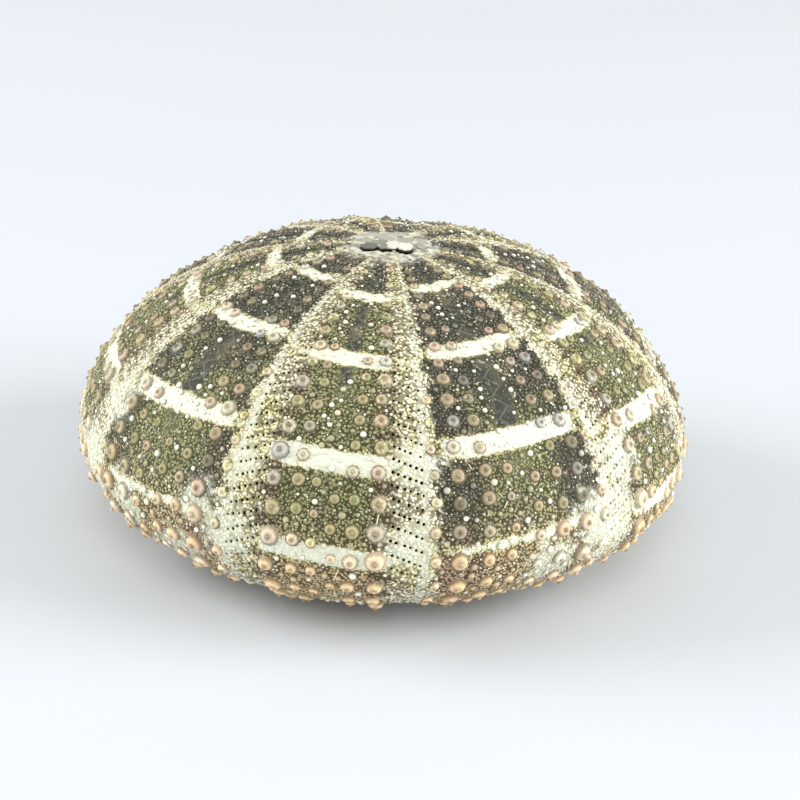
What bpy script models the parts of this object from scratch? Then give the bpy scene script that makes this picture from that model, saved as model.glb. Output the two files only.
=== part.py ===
"""A sea urchin's empty shell (its test): one hollow, low dome with five-fold symmetry.

Frame: +Z up, metres. The origin is at the middle of the shell, on the surface it rests on.
An ambulacrum (a band with two zones of paired pores) faces -Y.

The outside is drawn on flat maps: one for a fifth of the shell, used five times, and one for the
plates round the apex. Across the first map runs the azimuth, and down it the distance from the
apex divided by the local radius, so a circle on the map is a circle on the shell. Each map is
triangulated and wrapped on the outline, and tubercles and plates rise from it.
"""

import math

import bmesh
import bpy
import numpy as np
from mathutils.geometry import delaunay_2d_cdt

MM = 0.001
DEG = math.pi / 180

# Outline of the shell without its tubercles
RADIUS = 49.5 * MM
APEX_RISE = 32.0 * MM  # apex above the widest level
BASE_DROP = 15.4 * MM  # lowest ring below the widest level
REST_GAP = 0.6 * MM  # the lowest ring stands this far up, on its tubercles
WALL = 1.7 * MM
LOBE = 0.25 * MM  # the ambulacra stand this much proud of a true round

# Powers of the two superellipses that the outline is made of
UPPER_POWER_R, UPPER_POWER_Z = 0.93, 1.036
LOWER_POWER_R, LOWER_POWER_Z = 0.535, 1.136
OUTLINE_SAMPLES = 900

# Mouth opening underneath, with its ten gill notches
MOUTH_RADIUS = 11.8 * MM
REST_RADIUS = 24.0 * MM
MOUTH_LIFT = 2.0 * MM  # the underside rises by this much from the resting ring to the mouth
NOTCH_DEPTH = 2.2 * MM
NOTCH_AT = 20.6 * DEG  # from the middle of an ambulacrum
NOTCH_HALF_WIDTH = 4.2 * DEG
NOTCH_BOTTOM_HALF_WIDTH = 2.0 * DEG

# One fifth of the shell, with an ambulacrum in its middle
SECTORS = 5
SECTOR = 2 * math.pi / SECTORS
AMB_SERIES = 9.4 * DEG  # main tubercles of the ambulacrum
AMB_SECOND_SERIES = 3.4 * DEG
PORE_ZONE = 15.0 * DEG
INTER_SERIES = 24.6 * DEG  # main tubercles between two ambulacra
INTER_SECOND_SERIES = 31.0 * DEG
AMB_SECOND_FROM, INTER_SECOND_FROM = 0.955 * RADIUS, 0.86 * RADIUS  # near the widest level only
SUTURE_SINK = -0.25 * MM
SUTURES_FROM = 20.0 * MM  # nearer the apex, the joints between plates are only fine lines

# Plate heights along the meridian: at the apex, at the widest level (ambitus) and at the mouth
PLATE_AT_APEX, PLATE_AT_AMBITUS, PLATE_AT_MOUTH = 1.9 * MM, 4.7 * MM, 3.0 * MM

# Tubercles: radius and height at the same three places
TUBERCLE_SIDES = 5
TUBERCLE_R_TOP, TUBERCLE_R_AMBITUS, TUBERCLE_R_MOUTH = 0.7 * MM, 1.25 * MM, 1.0 * MM
TUBERCLE_H_TOP, TUBERCLE_H_AMBITUS, TUBERCLE_H_MOUTH = 0.5 * MM, 0.85 * MM, 0.9 * MM
WORN_TIP = 0.55  # where it rests, a tubercle's tip is flat: its radius as a share of the foot's
SMALLEST_TUBERCLE = 0.84 * MM  # radius; the ones nearer the apex are only a fine grain

# Plates round the apex. An outline's corners are (share of the way from the apex, azimuth).
APICAL_RADIUS = 6.3 * MM
APICAL_COLUMNS = 30
APICAL_STEP = 2 * math.pi / APICAL_COLUMNS
GENITAL_PLATE = [(0.96, -19), (0.96, 19), (0.8, 26), (0.56, 31), (0.5, 0), (0.56, -31), (0.8, -26)]
OCULAR_PLATE = [(0.95, -12), (0.95, 12), (0.84, 7), (0.7, 0), (0.84, -7)]
GENITAL_PORE_AT, GENITAL_PORE_RADIUS = 0.84, 0.08
ANAL_PLATE_AT, ANAL_PLATE_RADIUS = 0.29, 0.13
PLATE_RISE = 0.4 * MM
PLATE_TOP = 0.8  # a plate's flat top as a share of its outline
PORE_SINK = -0.5 * MM

INNER_ROWS = 9
INNER_COLUMNS = 25
WELD = 0.00001
MAP_WELD = 1e-7


class Meridian:
    """The shell's outline from the apex to the mouth, by distance along it."""

    def __init__(self):
        upper = np.linspace(0, math.pi / 2, OUTLINE_SAMPLES)
        lower = np.linspace(0, math.pi / 2, OUTLINE_SAMPLES)[1:-1]
        r = np.concatenate([
            RADIUS * np.sin(upper) ** UPPER_POWER_R,
            RADIUS * np.cos(lower) ** LOWER_POWER_R,
        ])
        z = np.concatenate([
            APEX_RISE * np.cos(upper).clip(0) ** UPPER_POWER_Z,
            -BASE_DROP * np.sin(lower) ** LOWER_POWER_Z,
        ])
        below = np.arange(len(r)) >= OUTLINE_SAMPLES
        inward = ((REST_RADIUS - r) / (REST_RADIUS - MOUTH_RADIUS)).clip(0)
        z += np.where(below, MOUTH_LIFT * inward**2, 0)
        kept = ~below | (r >= MOUTH_RADIUS)
        self.r = r[kept]
        self.z = z[kept] - z[kept].min() + REST_GAP
        steps = np.hypot(np.diff(self.r), np.diff(self.z))
        self.arc = np.concatenate([[0], np.cumsum(steps)])
        self.down = np.concatenate([[0], np.cumsum(2 * steps / (self.r[1:] + self.r[:-1]))])
        self.normal_r = np.gradient(-self.z, self.arc)
        self.normal_z = np.gradient(self.r, self.arc)
        self.length = float(self.arc[-1])
        self.ambitus = float(self.arc[OUTLINE_SAMPLES - 1])
        above = self.arc <= self.ambitus
        self.apical_edge = float(np.interp(APICAL_RADIUS, self.r[above], self.arc[above]))

    def radius(self, arc):
        return float(np.interp(arc, self.arc, self.r))

    def map_down(self, arc):
        return float(np.interp(arc, self.arc, self.down))

    def arc_of(self, down):
        return float(np.interp(down, self.down, self.arc))

    def place(self, azimuth, arc, height):
        """The point at an azimuth and a distance from the apex, that far out from the surface."""
        height += LOBE * math.cos(SECTORS * azimuth) * math.sin(math.pi * min(arc / self.length, 1))
        r = self.radius(arc) + height * float(np.interp(arc, self.arc, self.normal_r))
        z = float(np.interp(arc, self.arc, self.z))
        z += height * float(np.interp(arc, self.arc, self.normal_z))
        return (r * math.sin(azimuth), -r * math.cos(azimuth), z)

    def between(self, arc, top, ambitus, mouth):
        """A size that changes evenly from the apex to the widest level, and from there to the mouth."""
        return float(np.interp(arc, [0, self.ambitus, self.length], [top, ambitus, mouth]))


def raised(outline, shrink, foot, top):
    """Map points of a flat-topped rise, or a pit: its outline, and the same outline drawn in."""
    middle = [sum(corner[i] for corner in outline) / len(outline) for i in (0, 1)]
    drawn_in = [[m + shrink * (corner[i] - m) for i, m in enumerate(middle)] for corner in outline]
    return [(*corner, foot) for corner in outline] + [(*corner, top) for corner in drawn_in]


def round_outline(across, down, radius, sides):
    """A regular outline on the map."""
    turns = [2 * math.pi * k / sides for k in range(sides)]
    return [(across + radius * math.sin(t), down - radius * math.cos(t)) for t in turns]


def triangulated(rim, points):
    """The map's triangles inside the rim, with each corner's map place and height."""
    everything = rim + points
    edges = [(k, (k + 1) % len(rim)) for k in range(len(rim))]
    inside_only = 1
    flat = [(across, -down) for across, down, _ in everything]
    corners, _, faces, origins, _, _ = delaunay_2d_cdt(flat, edges, [], inside_only, MAP_WELD)
    heights = [everything[origin[0]][2] for origin in origins]
    return [(c[0], -c[1], height) for c, height in zip(corners, heights)], faces


def add_faces(bm, places, faces):
    verts = [bm.verts.new(place) for place in places]
    for face in faces:
        bm.faces.new([verts[i] for i in face])


def plate_rows(meridian):
    """Distances from the apex of the middles of a column of plates, and each plate's height."""
    rows = []
    arc = meridian.apical_edge + PLATE_AT_APEX
    last = meridian.length - NOTCH_DEPTH - PLATE_AT_MOUTH
    while arc < last:
        height = meridian.between(arc, PLATE_AT_APEX, PLATE_AT_AMBITUS, PLATE_AT_MOUTH)
        rows.append((arc, height))
        arc += height
    return rows


def mouth_edge():
    """The mouth's edge over one fifth, as azimuths and how far up the wall each lies."""
    half = [(0.0, 0.0), (NOTCH_AT / 2, 0.0)]
    half += [(NOTCH_AT - NOTCH_HALF_WIDTH, 0.0), (NOTCH_AT - NOTCH_BOTTOM_HALF_WIDTH, NOTCH_DEPTH)]
    half += [(NOTCH_AT + NOTCH_BOTTOM_HALF_WIDTH, NOTCH_DEPTH), (NOTCH_AT + NOTCH_HALF_WIDTH, 0.0)]
    half += [(SECTOR / 2, 0.0)]
    return [(-azimuth, up) for azimuth, up in reversed(half[1:])] + half


def tubercle(meridian, azimuth, arc):
    radius = meridian.between(arc, TUBERCLE_R_TOP, TUBERCLE_R_AMBITUS, TUBERCLE_R_MOUTH)
    if radius < SMALLEST_TUBERCLE and arc < meridian.ambitus:
        return []
    height = meridian.between(arc, TUBERCLE_H_TOP, TUBERCLE_H_AMBITUS, TUBERCLE_H_MOUTH)
    down = meridian.map_down(arc)
    outline = round_outline(azimuth, down, radius / meridian.radius(arc), TUBERCLE_SIDES)
    if meridian.place(azimuth, arc, height)[2] < 0:
        return raised(outline, WORN_TIP, 0.0, height)
    return [(*corner, 0.0) for corner in outline] + [(azimuth, down, height)]


def sector_edge(meridian, height, side_arcs, side_height):
    """The edge of one fifth on the map: apical plates, right side, mouth and left side."""
    top = meridian.map_down(meridian.apical_edge)
    half_columns = APICAL_COLUMNS // SECTORS // 2
    upper = [(k * APICAL_STEP, top, height) for k in range(-half_columns, half_columns + 1)]
    mouth = [(a, meridian.map_down(meridian.length - up), height) for a, up in mouth_edge()]
    side = [meridian.map_down(arc) for arc in side_arcs]
    right = [(SECTOR / 2, down, side_height) for down in side]
    left = [(-SECTOR / 2, down, side_height) for down in reversed(side)]
    return upper + right + mouth[::-1] + left


def all_sectors(bm, meridian, rim, points):
    """One fifth of a surface, five times round."""
    corners, faces = triangulated(rim, points)
    for k in range(SECTORS):
        turned = [(azimuth + k * SECTOR, meridian.arc_of(down), h) for azimuth, down, h in corners]
        add_faces(bm, [meridian.place(*corner) for corner in turned], faces)


def outside(bm, meridian):
    """The outer surface between the apical plates and the mouth, with its series of tubercles."""
    points = []
    rows = plate_rows(meridian)
    sutures = [arc for arc, plate in rows if arc > SUTURES_FROM]
    for side in (-1, 1):
        for arc, plate in rows:
            arc += plate / 4 * side
            radius = meridian.radius(arc)
            points += tubercle(meridian, side * AMB_SERIES, arc)
            points += tubercle(meridian, side * INTER_SERIES, arc)
            if radius > AMB_SECOND_FROM:
                points += tubercle(meridian, side * AMB_SECOND_SERIES, arc)
            if radius > INTER_SECOND_FROM:
                points += tubercle(meridian, side * INTER_SECOND_SERIES, arc)
        points += [(side * PORE_ZONE, meridian.map_down(arc), 0.0) for arc in sutures]
    points += [(0.0, meridian.map_down(arc), SUTURE_SINK) for arc in sutures]
    all_sectors(bm, meridian, sector_edge(meridian, 0.0, sutures, SUTURE_SINK), points)


def apical_outline(outline, azimuth):
    """An outline given by shares and degrees, turned to an azimuth and laid on the flat map."""
    turned = [(share, azimuth + degrees * DEG) for share, degrees in outline]
    return [(share * math.sin(a), -share * math.cos(a)) for share, a in turned]


def apical_plates(bm, meridian):
    """Ten plates round the apex, a pore in each of the five large ones, and six small ones inside."""
    rim = [(math.sin(k * APICAL_STEP), -math.cos(k * APICAL_STEP), 0.0) for k in range(APICAL_COLUMNS)]
    anal = round_outline(0.0, 0.0, ANAL_PLATE_RADIUS, TUBERCLE_SIDES)
    points = raised(anal, PLATE_TOP, SUTURE_SINK, PLATE_RISE / 2)
    for k in range(SECTORS):
        genital = SECTOR * (k + 0.5)
        points += raised(apical_outline(GENITAL_PLATE, genital), PLATE_TOP, SUTURE_SINK, PLATE_RISE)
        pore = apical_outline([(GENITAL_PORE_AT, 0)], genital)[0]
        outline = round_outline(*pore, GENITAL_PORE_RADIUS, TUBERCLE_SIDES)
        points += raised(outline, PLATE_TOP, PLATE_RISE, PORE_SINK)
        outline = apical_outline(OCULAR_PLATE, SECTOR * k)
        points += raised(outline, PLATE_TOP, SUTURE_SINK, PLATE_RISE)
        anal_at = apical_outline([(ANAL_PLATE_AT, 0)], SECTOR * k)[0]
        outline = round_outline(*anal_at, ANAL_PLATE_RADIUS, TUBERCLE_SIDES)
        points += raised(outline, PLATE_TOP, SUTURE_SINK, PLATE_RISE / 2)
    corners, faces = triangulated(rim, points)
    places = [
        meridian.place(math.atan2(x, -y), math.hypot(x, y) * meridian.apical_edge, height)
        for x, y, height in corners
    ]
    add_faces(bm, places, faces)


def inside(bm, meridian):
    """The inner surface, a wall's thickness in."""
    arcs = np.linspace(meridian.apical_edge, meridian.length, INNER_ROWS + 1)[1:-1]
    per_sector = INNER_COLUMNS // SECTORS
    columns = np.linspace(-SECTOR / 2, SECTOR / 2, per_sector + 1)[1:-1]
    points = [(azimuth, meridian.map_down(arc), -WALL) for azimuth in columns for arc in arcs]
    all_sectors(bm, meridian, sector_edge(meridian, -WALL, arcs, -WALL), points)
    places = [
        meridian.place(k * APICAL_STEP, meridian.apical_edge, -WALL) for k in range(APICAL_COLUMNS)
    ]
    places.append(meridian.place(0.0, 0.0, -WALL))
    round_apex = [(k, (k + 1) % APICAL_COLUMNS, APICAL_COLUMNS) for k in range(APICAL_COLUMNS)]
    add_faces(bm, places, round_apex)


def lip(bm, meridian):
    """The edge of the mouth, from the outer surface to the inner one."""
    edge = [(azimuth + k * SECTOR, up) for k in range(SECTORS) for azimuth, up in mouth_edge()[:-1]]
    places = [meridian.place(a, meridian.length - up, h) for h in (0.0, -WALL) for a, up in edge]
    count = len(edge)
    ahead = [(i + 1) % count for i in range(count)]
    add_faces(bm, places, [(i, j, j + count, i + count) for i, j in enumerate(ahead)])


def shell_material():
    material = bpy.data.materials.new("shell")
    material.use_nodes = True
    shader = material.node_tree.nodes["Principled BSDF"]
    shader.inputs["Base Color"].default_value = (0.46, 0.45, 0.30, 1)
    shader.inputs["Roughness"].default_value = 0.75
    shader.inputs["Metallic"].default_value = 0.0
    return material


def urchin_shell():
    meridian = Meridian()
    bm = bmesh.new()
    outside(bm, meridian)
    apical_plates(bm, meridian)
    inside(bm, meridian)
    lip(bm, meridian)
    bmesh.ops.remove_doubles(bm, verts=bm.verts, dist=WELD)
    for vert in bm.verts:
        vert.co.z = max(vert.co.z, 0.0)  # the tubercles it rests on are worn flat
    bmesh.ops.triangulate(bm, faces=bm.faces)
    bmesh.ops.recalc_face_normals(bm, faces=bm.faces)
    mesh = bpy.data.meshes.new("urchin_shell")
    bm.to_mesh(mesh)
    bm.free()
    mesh.shade_smooth()
    mesh.set_sharp_from_angle(angle=40 * DEG)
    mesh.materials.append(shell_material())
    shell = bpy.data.objects.new("urchin_shell", mesh)
    bpy.context.scene.collection.objects.link(shell)
    return shell


def main():
    for old in list(bpy.data.objects):
        bpy.data.objects.remove(old)
    urchin_shell()


main()
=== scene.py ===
"""The looks of a sea urchin's empty shell: its pored wall, tubercles, granules and apical plates.

Everything grows on one outline, given from the apex to the mouth, and repeats over five sectors.
Azimuth 0 is the middle of the ambulacrum that faces -Y, and it grows towards +X. "arc" is the
distance from the apex along the surface.
"""

import itertools
import math
import typing

import bmesh
import bpy
import numpy as np
from mathutils import Matrix, Vector, noise
from mathutils.geometry import delaunay_2d_cdt


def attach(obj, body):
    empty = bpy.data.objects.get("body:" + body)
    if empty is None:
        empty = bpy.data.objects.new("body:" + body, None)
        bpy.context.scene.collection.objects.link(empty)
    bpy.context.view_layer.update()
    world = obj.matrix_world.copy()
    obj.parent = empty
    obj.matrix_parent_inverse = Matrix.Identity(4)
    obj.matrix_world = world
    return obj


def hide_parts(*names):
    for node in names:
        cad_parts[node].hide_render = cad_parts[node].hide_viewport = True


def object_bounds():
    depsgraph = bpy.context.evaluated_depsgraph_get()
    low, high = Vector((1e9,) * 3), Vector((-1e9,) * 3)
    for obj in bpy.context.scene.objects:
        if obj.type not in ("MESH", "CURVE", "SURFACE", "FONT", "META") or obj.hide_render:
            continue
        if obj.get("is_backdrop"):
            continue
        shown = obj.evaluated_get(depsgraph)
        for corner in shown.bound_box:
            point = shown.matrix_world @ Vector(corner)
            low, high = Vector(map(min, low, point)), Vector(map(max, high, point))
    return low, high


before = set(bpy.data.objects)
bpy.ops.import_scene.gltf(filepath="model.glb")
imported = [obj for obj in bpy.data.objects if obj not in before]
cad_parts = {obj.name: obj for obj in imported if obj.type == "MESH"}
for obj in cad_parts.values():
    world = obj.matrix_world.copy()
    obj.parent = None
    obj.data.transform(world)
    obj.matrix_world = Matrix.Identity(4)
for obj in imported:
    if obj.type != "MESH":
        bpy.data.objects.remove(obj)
CAD_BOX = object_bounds()

bl_info = {
    "name": "Sea urchin shell",
    "version": (1, 0, 0),
    "blender": (4, 5, 0),
    "location": "View3D > Sidebar > Urchin shell",
    "description": "Grows an empty sea urchin shell with its tubercles, pores and pale bands",
    "category": "Add Mesh",
}

NODE = "urchin_shell"

MM = 0.001
DEG = math.pi / 180
SECTORS = 5
SECTOR = 2 * math.pi / SECTORS
HALF_SECTOR = 180 / SECTORS  # degrees

# Outline of the shell, as in the solid: two superellipses that meet at the widest level
BASE_DROP = 15.4 * MM
REST_GAP = 0.6 * MM
LOBE = 0.25 * MM
UPPER_POWER_R, UPPER_POWER_Z = 0.93, 1.036
LOWER_POWER_R, LOWER_POWER_Z = 0.535, 1.136
OUTLINE_SAMPLES = 900
REST_RADIUS = 24.0 * MM
MOUTH_LIFT = 2.0 * MM
APICAL_RADIUS = 6.3 * MM
APICAL_TURN = 9.7 * DEG  # how far the apical plates are turned about the axis

# Mouth edge
NOTCH_DEPTH = 2.2 * MM
NOTCH_AT = 20.6 * DEG
NOTCH_HALF_WIDTH = 4.2 * DEG
NOTCH_BOTTOM_HALF_WIDTH = 2.0 * DEG
MOUTH_STEP = 1.6 * DEG  # how finely the mouth's edge is cut

# Plate heights at the apex, the widest level (ambitus) and the mouth
PLATE_AT_APEX, PLATE_AT_AMBITUS, PLATE_AT_MOUTH = 1.9 * MM, 4.7 * MM, 3.0 * MM

# Widths of the zones, in degrees from the middle of an ambulacrum
ZONE_EDGE = 18.7
PORE_ZONE_FROM = 11.2
PORE_PAIRS_AT = (12.4, 14.5, 16.6)
PALE_FROM, PALE_TO = 9.6, 19.9

# Pale bands: distance from the apex in mm, half height as a share of a plate's, and whiteness
AMB_BANDS = ((19.0, 0.42, 1.0), (33.0, 0.42, 1.0), (49.8, 0.42, 1.0), (63.6, 0.34, 0.9))
INTER_BANDS = ((16.0, 0.42, 0.95), (30.8, 0.44, 1.0), (46.9, 0.42, 1.0), (62.0, 0.21, 0.7))
BAND_EDGE = 1.0 * MM
BAND_SHIFT = 0.12  # how far a band steps at the middle joint, as a share of a plate's height

# Bleached spots: azimuth in degrees, distance from the apex and radius in mm
BLEACHED = (
    (-60, 64, 8), (-54, 52, 5), (-44, 66, 6), (-30, 70, 6), (-24, 60, 4), (-18, 63, 5), (-16, 52, 3),
    (15, 62, 4), (17, 50, 4), (43, 68, 6), (53, 63, 8), (60, 54, 5), (126, 60, 7), (200, 50, 6),
    (260, 62, 7),
)
GREY_SHARES = (1.1, 0.85, 0.95, 0.9, 0.8)  # how grey each interambulacrum is

# Lines along each pore zone, in degrees: a white one, and brown stains on the zone's other side
CHALK_LINE_AT, CHALK_LINE_WIDTH = 17.6, 1.3
BROWN_STAIN_AT, BROWN_STAIN_WIDTH = 10.4, 2.4
PALE_EDGE_FROM, PALE_EDGE_TO = 5.0, 2.6  # how softly a pore zone's cream starts and ends
STAGGER_WIDTH = 9.0  # degrees over which the two half columns part
STAGGER_SHIFT = 0.25  # how far each half column steps up or down, as a share of a plate's height
GREY_FLANK = (4, 11)  # degrees from an interambulacrum's middle over which its flank greys

# How much of a pale band fades beside the pore zones, and over which degrees from a zone's middle
AMB_FADE = (0.5, 8, 12)
INTER_FADE = (0.55, 10.5, 16.5)

# Distances from the apex over which the pattern changes
INTER_GREY_ENDS = (30 * MM, 54 * MM)
AMB_GREY_ENDS = (14 * MM, 34 * MM)
BROWN_GROWS = (14 * MM, 40 * MM)
SAND_GROWS = (55 * MM, 70 * MM)
PORES_CLEAR = (30 * MM, 50 * MM)
COLLAR_ENDS = (7.4 * MM, 9.2 * MM)

# Smooth middles of the two kinds of zone: half width in degrees, and where they end
INTER_BARE_WIDTH, INTER_BARE_ENDS = 2.6, (42 * MM, 56 * MM)
AMB_BARE_WIDTH, AMB_BARE_ENDS = 2.0, (32 * MM, 44 * MM)


def length_property(name, description, default):
    """A length in metres."""
    return bpy.props.FloatProperty(name=name, description=description, default=default, unit="LENGTH")


class ShellSizes(bpy.types.PropertyGroup):
    """Sizes of the shell and its relief."""

    radius: length_property("Radius", "Radius of the wall at its widest level", 49.5 * MM)
    apex_rise: length_property("Apex rise", "Height of the apex above the widest level", 32.0 * MM)
    wall: length_property("Wall", "Thickness of the wall", 1.7 * MM)
    mouth: length_property("Mouth radius", "Radius of the opening underneath", 11.8 * MM)
    tubercle: length_property("Tubercle radius", "Radius of the widest main tubercles", 1.38 * MM)
    bead: length_property("Bead radius", "Radius of the secondary tubercles", 0.56 * MM)
    granule: length_property("Granule radius", "Radius of the finest grain", 0.3 * MM)
    pore: length_property("Pore radius", "Radius of the pores at the widest level", 0.29 * MM)


def colour_property(name, description, red, green, blue):
    """A colour given as it looks on a screen, kept as a linear value."""
    linear = [(c / 255) ** 2.2 for c in (red, green, blue)]
    return bpy.props.FloatVectorProperty(
        name=name, description=description, default=linear, size=3, subtype="COLOR", min=0, max=1)


class ShellColours(bpy.types.PropertyGroup):
    """Colours of the shell."""

    white: colour_property("White", "The pale bands", 237, 240, 217)
    cream: colour_property("Cream", "The pore zones", 250, 241, 200)
    olive: colour_property("Olive", "Ground of the lower plates", 145, 148, 98)
    grey: colour_property("Grey", "Ground of the upper plates", 74, 77, 66)
    sand: colour_property("Sand", "Ground and tubercles of the underside", 255, 214, 166)
    brown: colour_property("Brown", "Stains beside the pore zones", 92, 68, 46)
    # Painted shade in the gaps between granules
    gap_shade: colour_property("Umber", "Gaps between granules", 54, 48, 30)
    # Painted shade in pores, crevices, genital pores and the apical plates' sides; also the plates'
    # fine dark specks
    hole_shade_and_specks: colour_property("Hollow", "Pores and crevices", 30, 26, 16)
    tan: colour_property("Tan", "Most of the main tubercles", 178, 162, 128)
    pink: colour_property("Pink", "Pinkish main tubercles", 190, 165, 140)
    lilac: colour_property("Lilac", "Greyish main tubercles", 176, 170, 162)
    grain: colour_property("Grain", "Beads and granules", 255, 252, 232)
    yellow: colour_property("Yellow", "Stains in the pore zones and beside the bands", 240, 226, 150)
    plates: colour_property("Plates", "Plates round the apex", 150, 150, 136)


class StageSettings(bpy.types.PropertyGroup):
    """Camera and light."""

    distance: length_property("Distance", "From the camera to the shell's middle", 0.3325)
    elevation: bpy.props.FloatProperty(
        name="Elevation", description="How far the camera looks down",
        default=24.3 * DEG, subtype="ANGLE")
    azimuth: bpy.props.FloatProperty(
        name="Azimuth", description="The camera's place round the shell",
        default=9.7 * DEG, subtype="ANGLE")
    roll: bpy.props.FloatProperty(
        name="Roll", description="How far the camera leans", default=2.4 * DEG, subtype="ANGLE")
    floor: colour_property("Floor", "The plain floor", 210, 216, 222)


class Meridian:
    """The shell's outline from the apex to the mouth, by distance along it."""

    def __init__(self, sizes):
        upper = np.linspace(0, math.pi / 2, OUTLINE_SAMPLES)
        lower = np.linspace(0, math.pi / 2, OUTLINE_SAMPLES)[1:-1]
        r = np.concatenate([
            sizes.radius * np.sin(upper) ** UPPER_POWER_R,
            sizes.radius * np.cos(lower) ** LOWER_POWER_R,
        ])
        z = np.concatenate([
            sizes.apex_rise * np.cos(upper).clip(0) ** UPPER_POWER_Z,
            -BASE_DROP * np.sin(lower) ** LOWER_POWER_Z,
        ])
        below = np.arange(len(r)) >= OUTLINE_SAMPLES
        inward = ((REST_RADIUS - r) / (REST_RADIUS - sizes.mouth)).clip(0)
        z += np.where(below, MOUTH_LIFT * inward**2, 0)
        kept = ~below | (r >= sizes.mouth)
        self.r = r[kept]
        self.z = z[kept] - z[kept].min() + REST_GAP
        steps = np.hypot(np.diff(self.r), np.diff(self.z))
        self.arc = np.concatenate([[0], np.cumsum(steps)])
        self.down = np.concatenate([[0], np.cumsum(2 * steps / (self.r[1:] + self.r[:-1]))])
        self.normal_r = np.gradient(-self.z, self.arc)
        self.normal_z = np.gradient(self.r, self.arc)
        self.length = self.arc[-1]
        self.ambitus = self.arc[OUTLINE_SAMPLES - 1]
        self.widest_z = float(self.z[OUTLINE_SAMPLES - 1])
        above = self.arc <= self.ambitus
        self.apical_edge = float(np.interp(APICAL_RADIUS, self.r[above], self.arc[above]))

    def radius(self, arc):
        """Distance from the axis."""
        return np.interp(arc, self.arc, self.r)

    def map_down(self, arc):
        """Distance down the flat map, which keeps angles and has azimuths across."""
        return np.interp(arc, self.arc, self.down)

    def arc_of(self, down):
        """Distance from the apex of a place on the flat map."""
        return np.interp(down, self.down, self.arc)

    def between(self, arc, top, ambitus, mouth):
        """A size that changes evenly from the apex to the widest level, and on to the mouth."""
        return np.interp(arc, [0, self.ambitus, self.length], [top, ambitus, mouth])

    def plate(self, arc):
        """Height of a plate there."""
        return self.between(arc, PLATE_AT_APEX, PLATE_AT_AMBITUS, PLATE_AT_MOUTH)

    def axes(self, azimuth, arc):
        """Unit vectors east, down and out at each place."""
        sin, cos = np.sin(azimuth), np.cos(azimuth)
        out_r = np.interp(arc, self.arc, self.normal_r)
        out_z = np.interp(arc, self.arc, self.normal_z)
        east = np.stack([cos, sin, np.zeros_like(sin)], -1)
        down = np.stack([out_z * sin, -out_z * cos, -out_r], -1)
        out = np.stack([out_r * sin, -out_r * cos, out_z], -1)
        return east, down, out

    def place(self, azimuth, arc, height=0.0):
        """Points at an azimuth and a distance from the apex, that far out from the surface."""
        share = np.minimum(arc / self.length, 1)
        height = height + LOBE * np.cos(SECTORS * azimuth) * np.sin(math.pi * share)
        r = self.radius(arc)
        z = np.interp(arc, self.arc, self.z)
        foot = np.stack([r * np.sin(azimuth), -r * np.cos(azimuth), z], -1)
        return foot + self.axes(azimuth, arc)[2] * np.asarray(height)[..., None]


def from_middle(azimuth):
    """Degrees from the middle of the nearest ambulacrum, -36 to 36."""
    return np.degrees((azimuth + SECTOR / 2) % SECTOR - SECTOR / 2)


def ramp(value, low, high):
    """0 below low, 1 above high and a smooth rise between."""
    t = ((value - low) / (high - low)).clip(0, 1)
    return t * t * (3 - 2 * t)


def swell(across, width):
    """1 in the middle of a rounded form, falling to the sides."""
    return np.exp(-((across / width) ** 2))


def stagger(across, side):
    """Which half column a place is in, from -1 to 1 across a zone's middle."""
    return side * np.minimum(across / STAGGER_WIDTH, 1)


def shifted_arc(meridian, azimuth, arc, shift=STAGGER_SHIFT):
    """Distance from the apex, less a half column's shift, which is a share of a plate's height."""
    across = from_middle(azimuth)
    width = np.abs(across)
    amb = stagger(width, np.sign(across))
    inter = stagger(HALF_SECTOR - width, np.sign(across))
    return arc - np.where(width < ZONE_EDGE, amb, inter) * meridian.plate(arc) * shift


def row_of(meridian, arc):
    """Which plate a distance from the apex falls on, as a running number."""
    rows = plate_rows(meridian)
    return np.interp(arc, [row[0] for row in rows], np.arange(len(rows)) + 0.5)


def faded(across, fade):
    """How much of a band is left that many degrees from a zone's middle."""
    share, start, end = fade
    return 1 - share * ramp(across, start, end)


def band_mask(meridian, azimuth, arc):
    """How far inside a pale band a place is. The bands fade towards the pore zones."""
    width = np.abs(from_middle(azimuth))
    in_amb = width < ZONE_EDGE
    plate = meridian.plate(arc)
    shifted = shifted_arc(meridian, azimuth, arc, BAND_SHIFT)
    band = np.zeros_like(arc)
    for zone, bands in ((in_amb, AMB_BANDS), (~in_amb, INTER_BANDS)):
        for middle, half, whiteness in bands:
            inside = half * plate - np.abs(shifted - middle * MM)
            value = (0.5 + inside / BAND_EDGE).clip(0, 1) * whiteness
            band = np.where(zone, np.maximum(band, value), band)
    inter_fade = faded(HALF_SECTOR - width, INTER_FADE)
    return band * np.where(in_amb, faded(width, AMB_FADE), inter_fade)


def grey_mask(azimuth, arc):
    """Where the ground is grey: high up, on the flanks between ambulacra and on bare middles."""
    width = np.abs(from_middle(azimuth))
    high = 1 - ramp(arc, *INTER_GREY_ENDS)
    flank = ramp(HALF_SECTOR - width, *GREY_FLANK)
    inter = np.maximum(high, 0.1 + 0.65 * flank)
    inter *= np.array(GREY_SHARES)[np.floor(azimuth / SECTOR).astype(int) % SECTORS]
    amb = 0.1 + 0.55 * (1 - ramp(arc, *AMB_GREY_ENDS))
    grey = np.where(width < ZONE_EDGE, amb, inter)
    return np.maximum(grey, 1.2 * bareness(azimuth, arc))


def chalk_mask(meridian, azimuth, arc):
    """The white line along each pore zone, and the bleached spots."""
    width = np.abs(from_middle(azimuth))
    chalk = 0.75 * swell(width - CHALK_LINE_AT, CHALK_LINE_WIDTH)
    for degrees, middle, radius in BLEACHED:
        turn = (azimuth - degrees * DEG + math.pi) % (2 * math.pi) - math.pi
        away = np.hypot(turn * meridian.radius(arc), arc - middle * MM) / (radius * MM)
        chalk = np.maximum(chalk, np.exp(-(away**2)))
    return chalk


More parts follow.
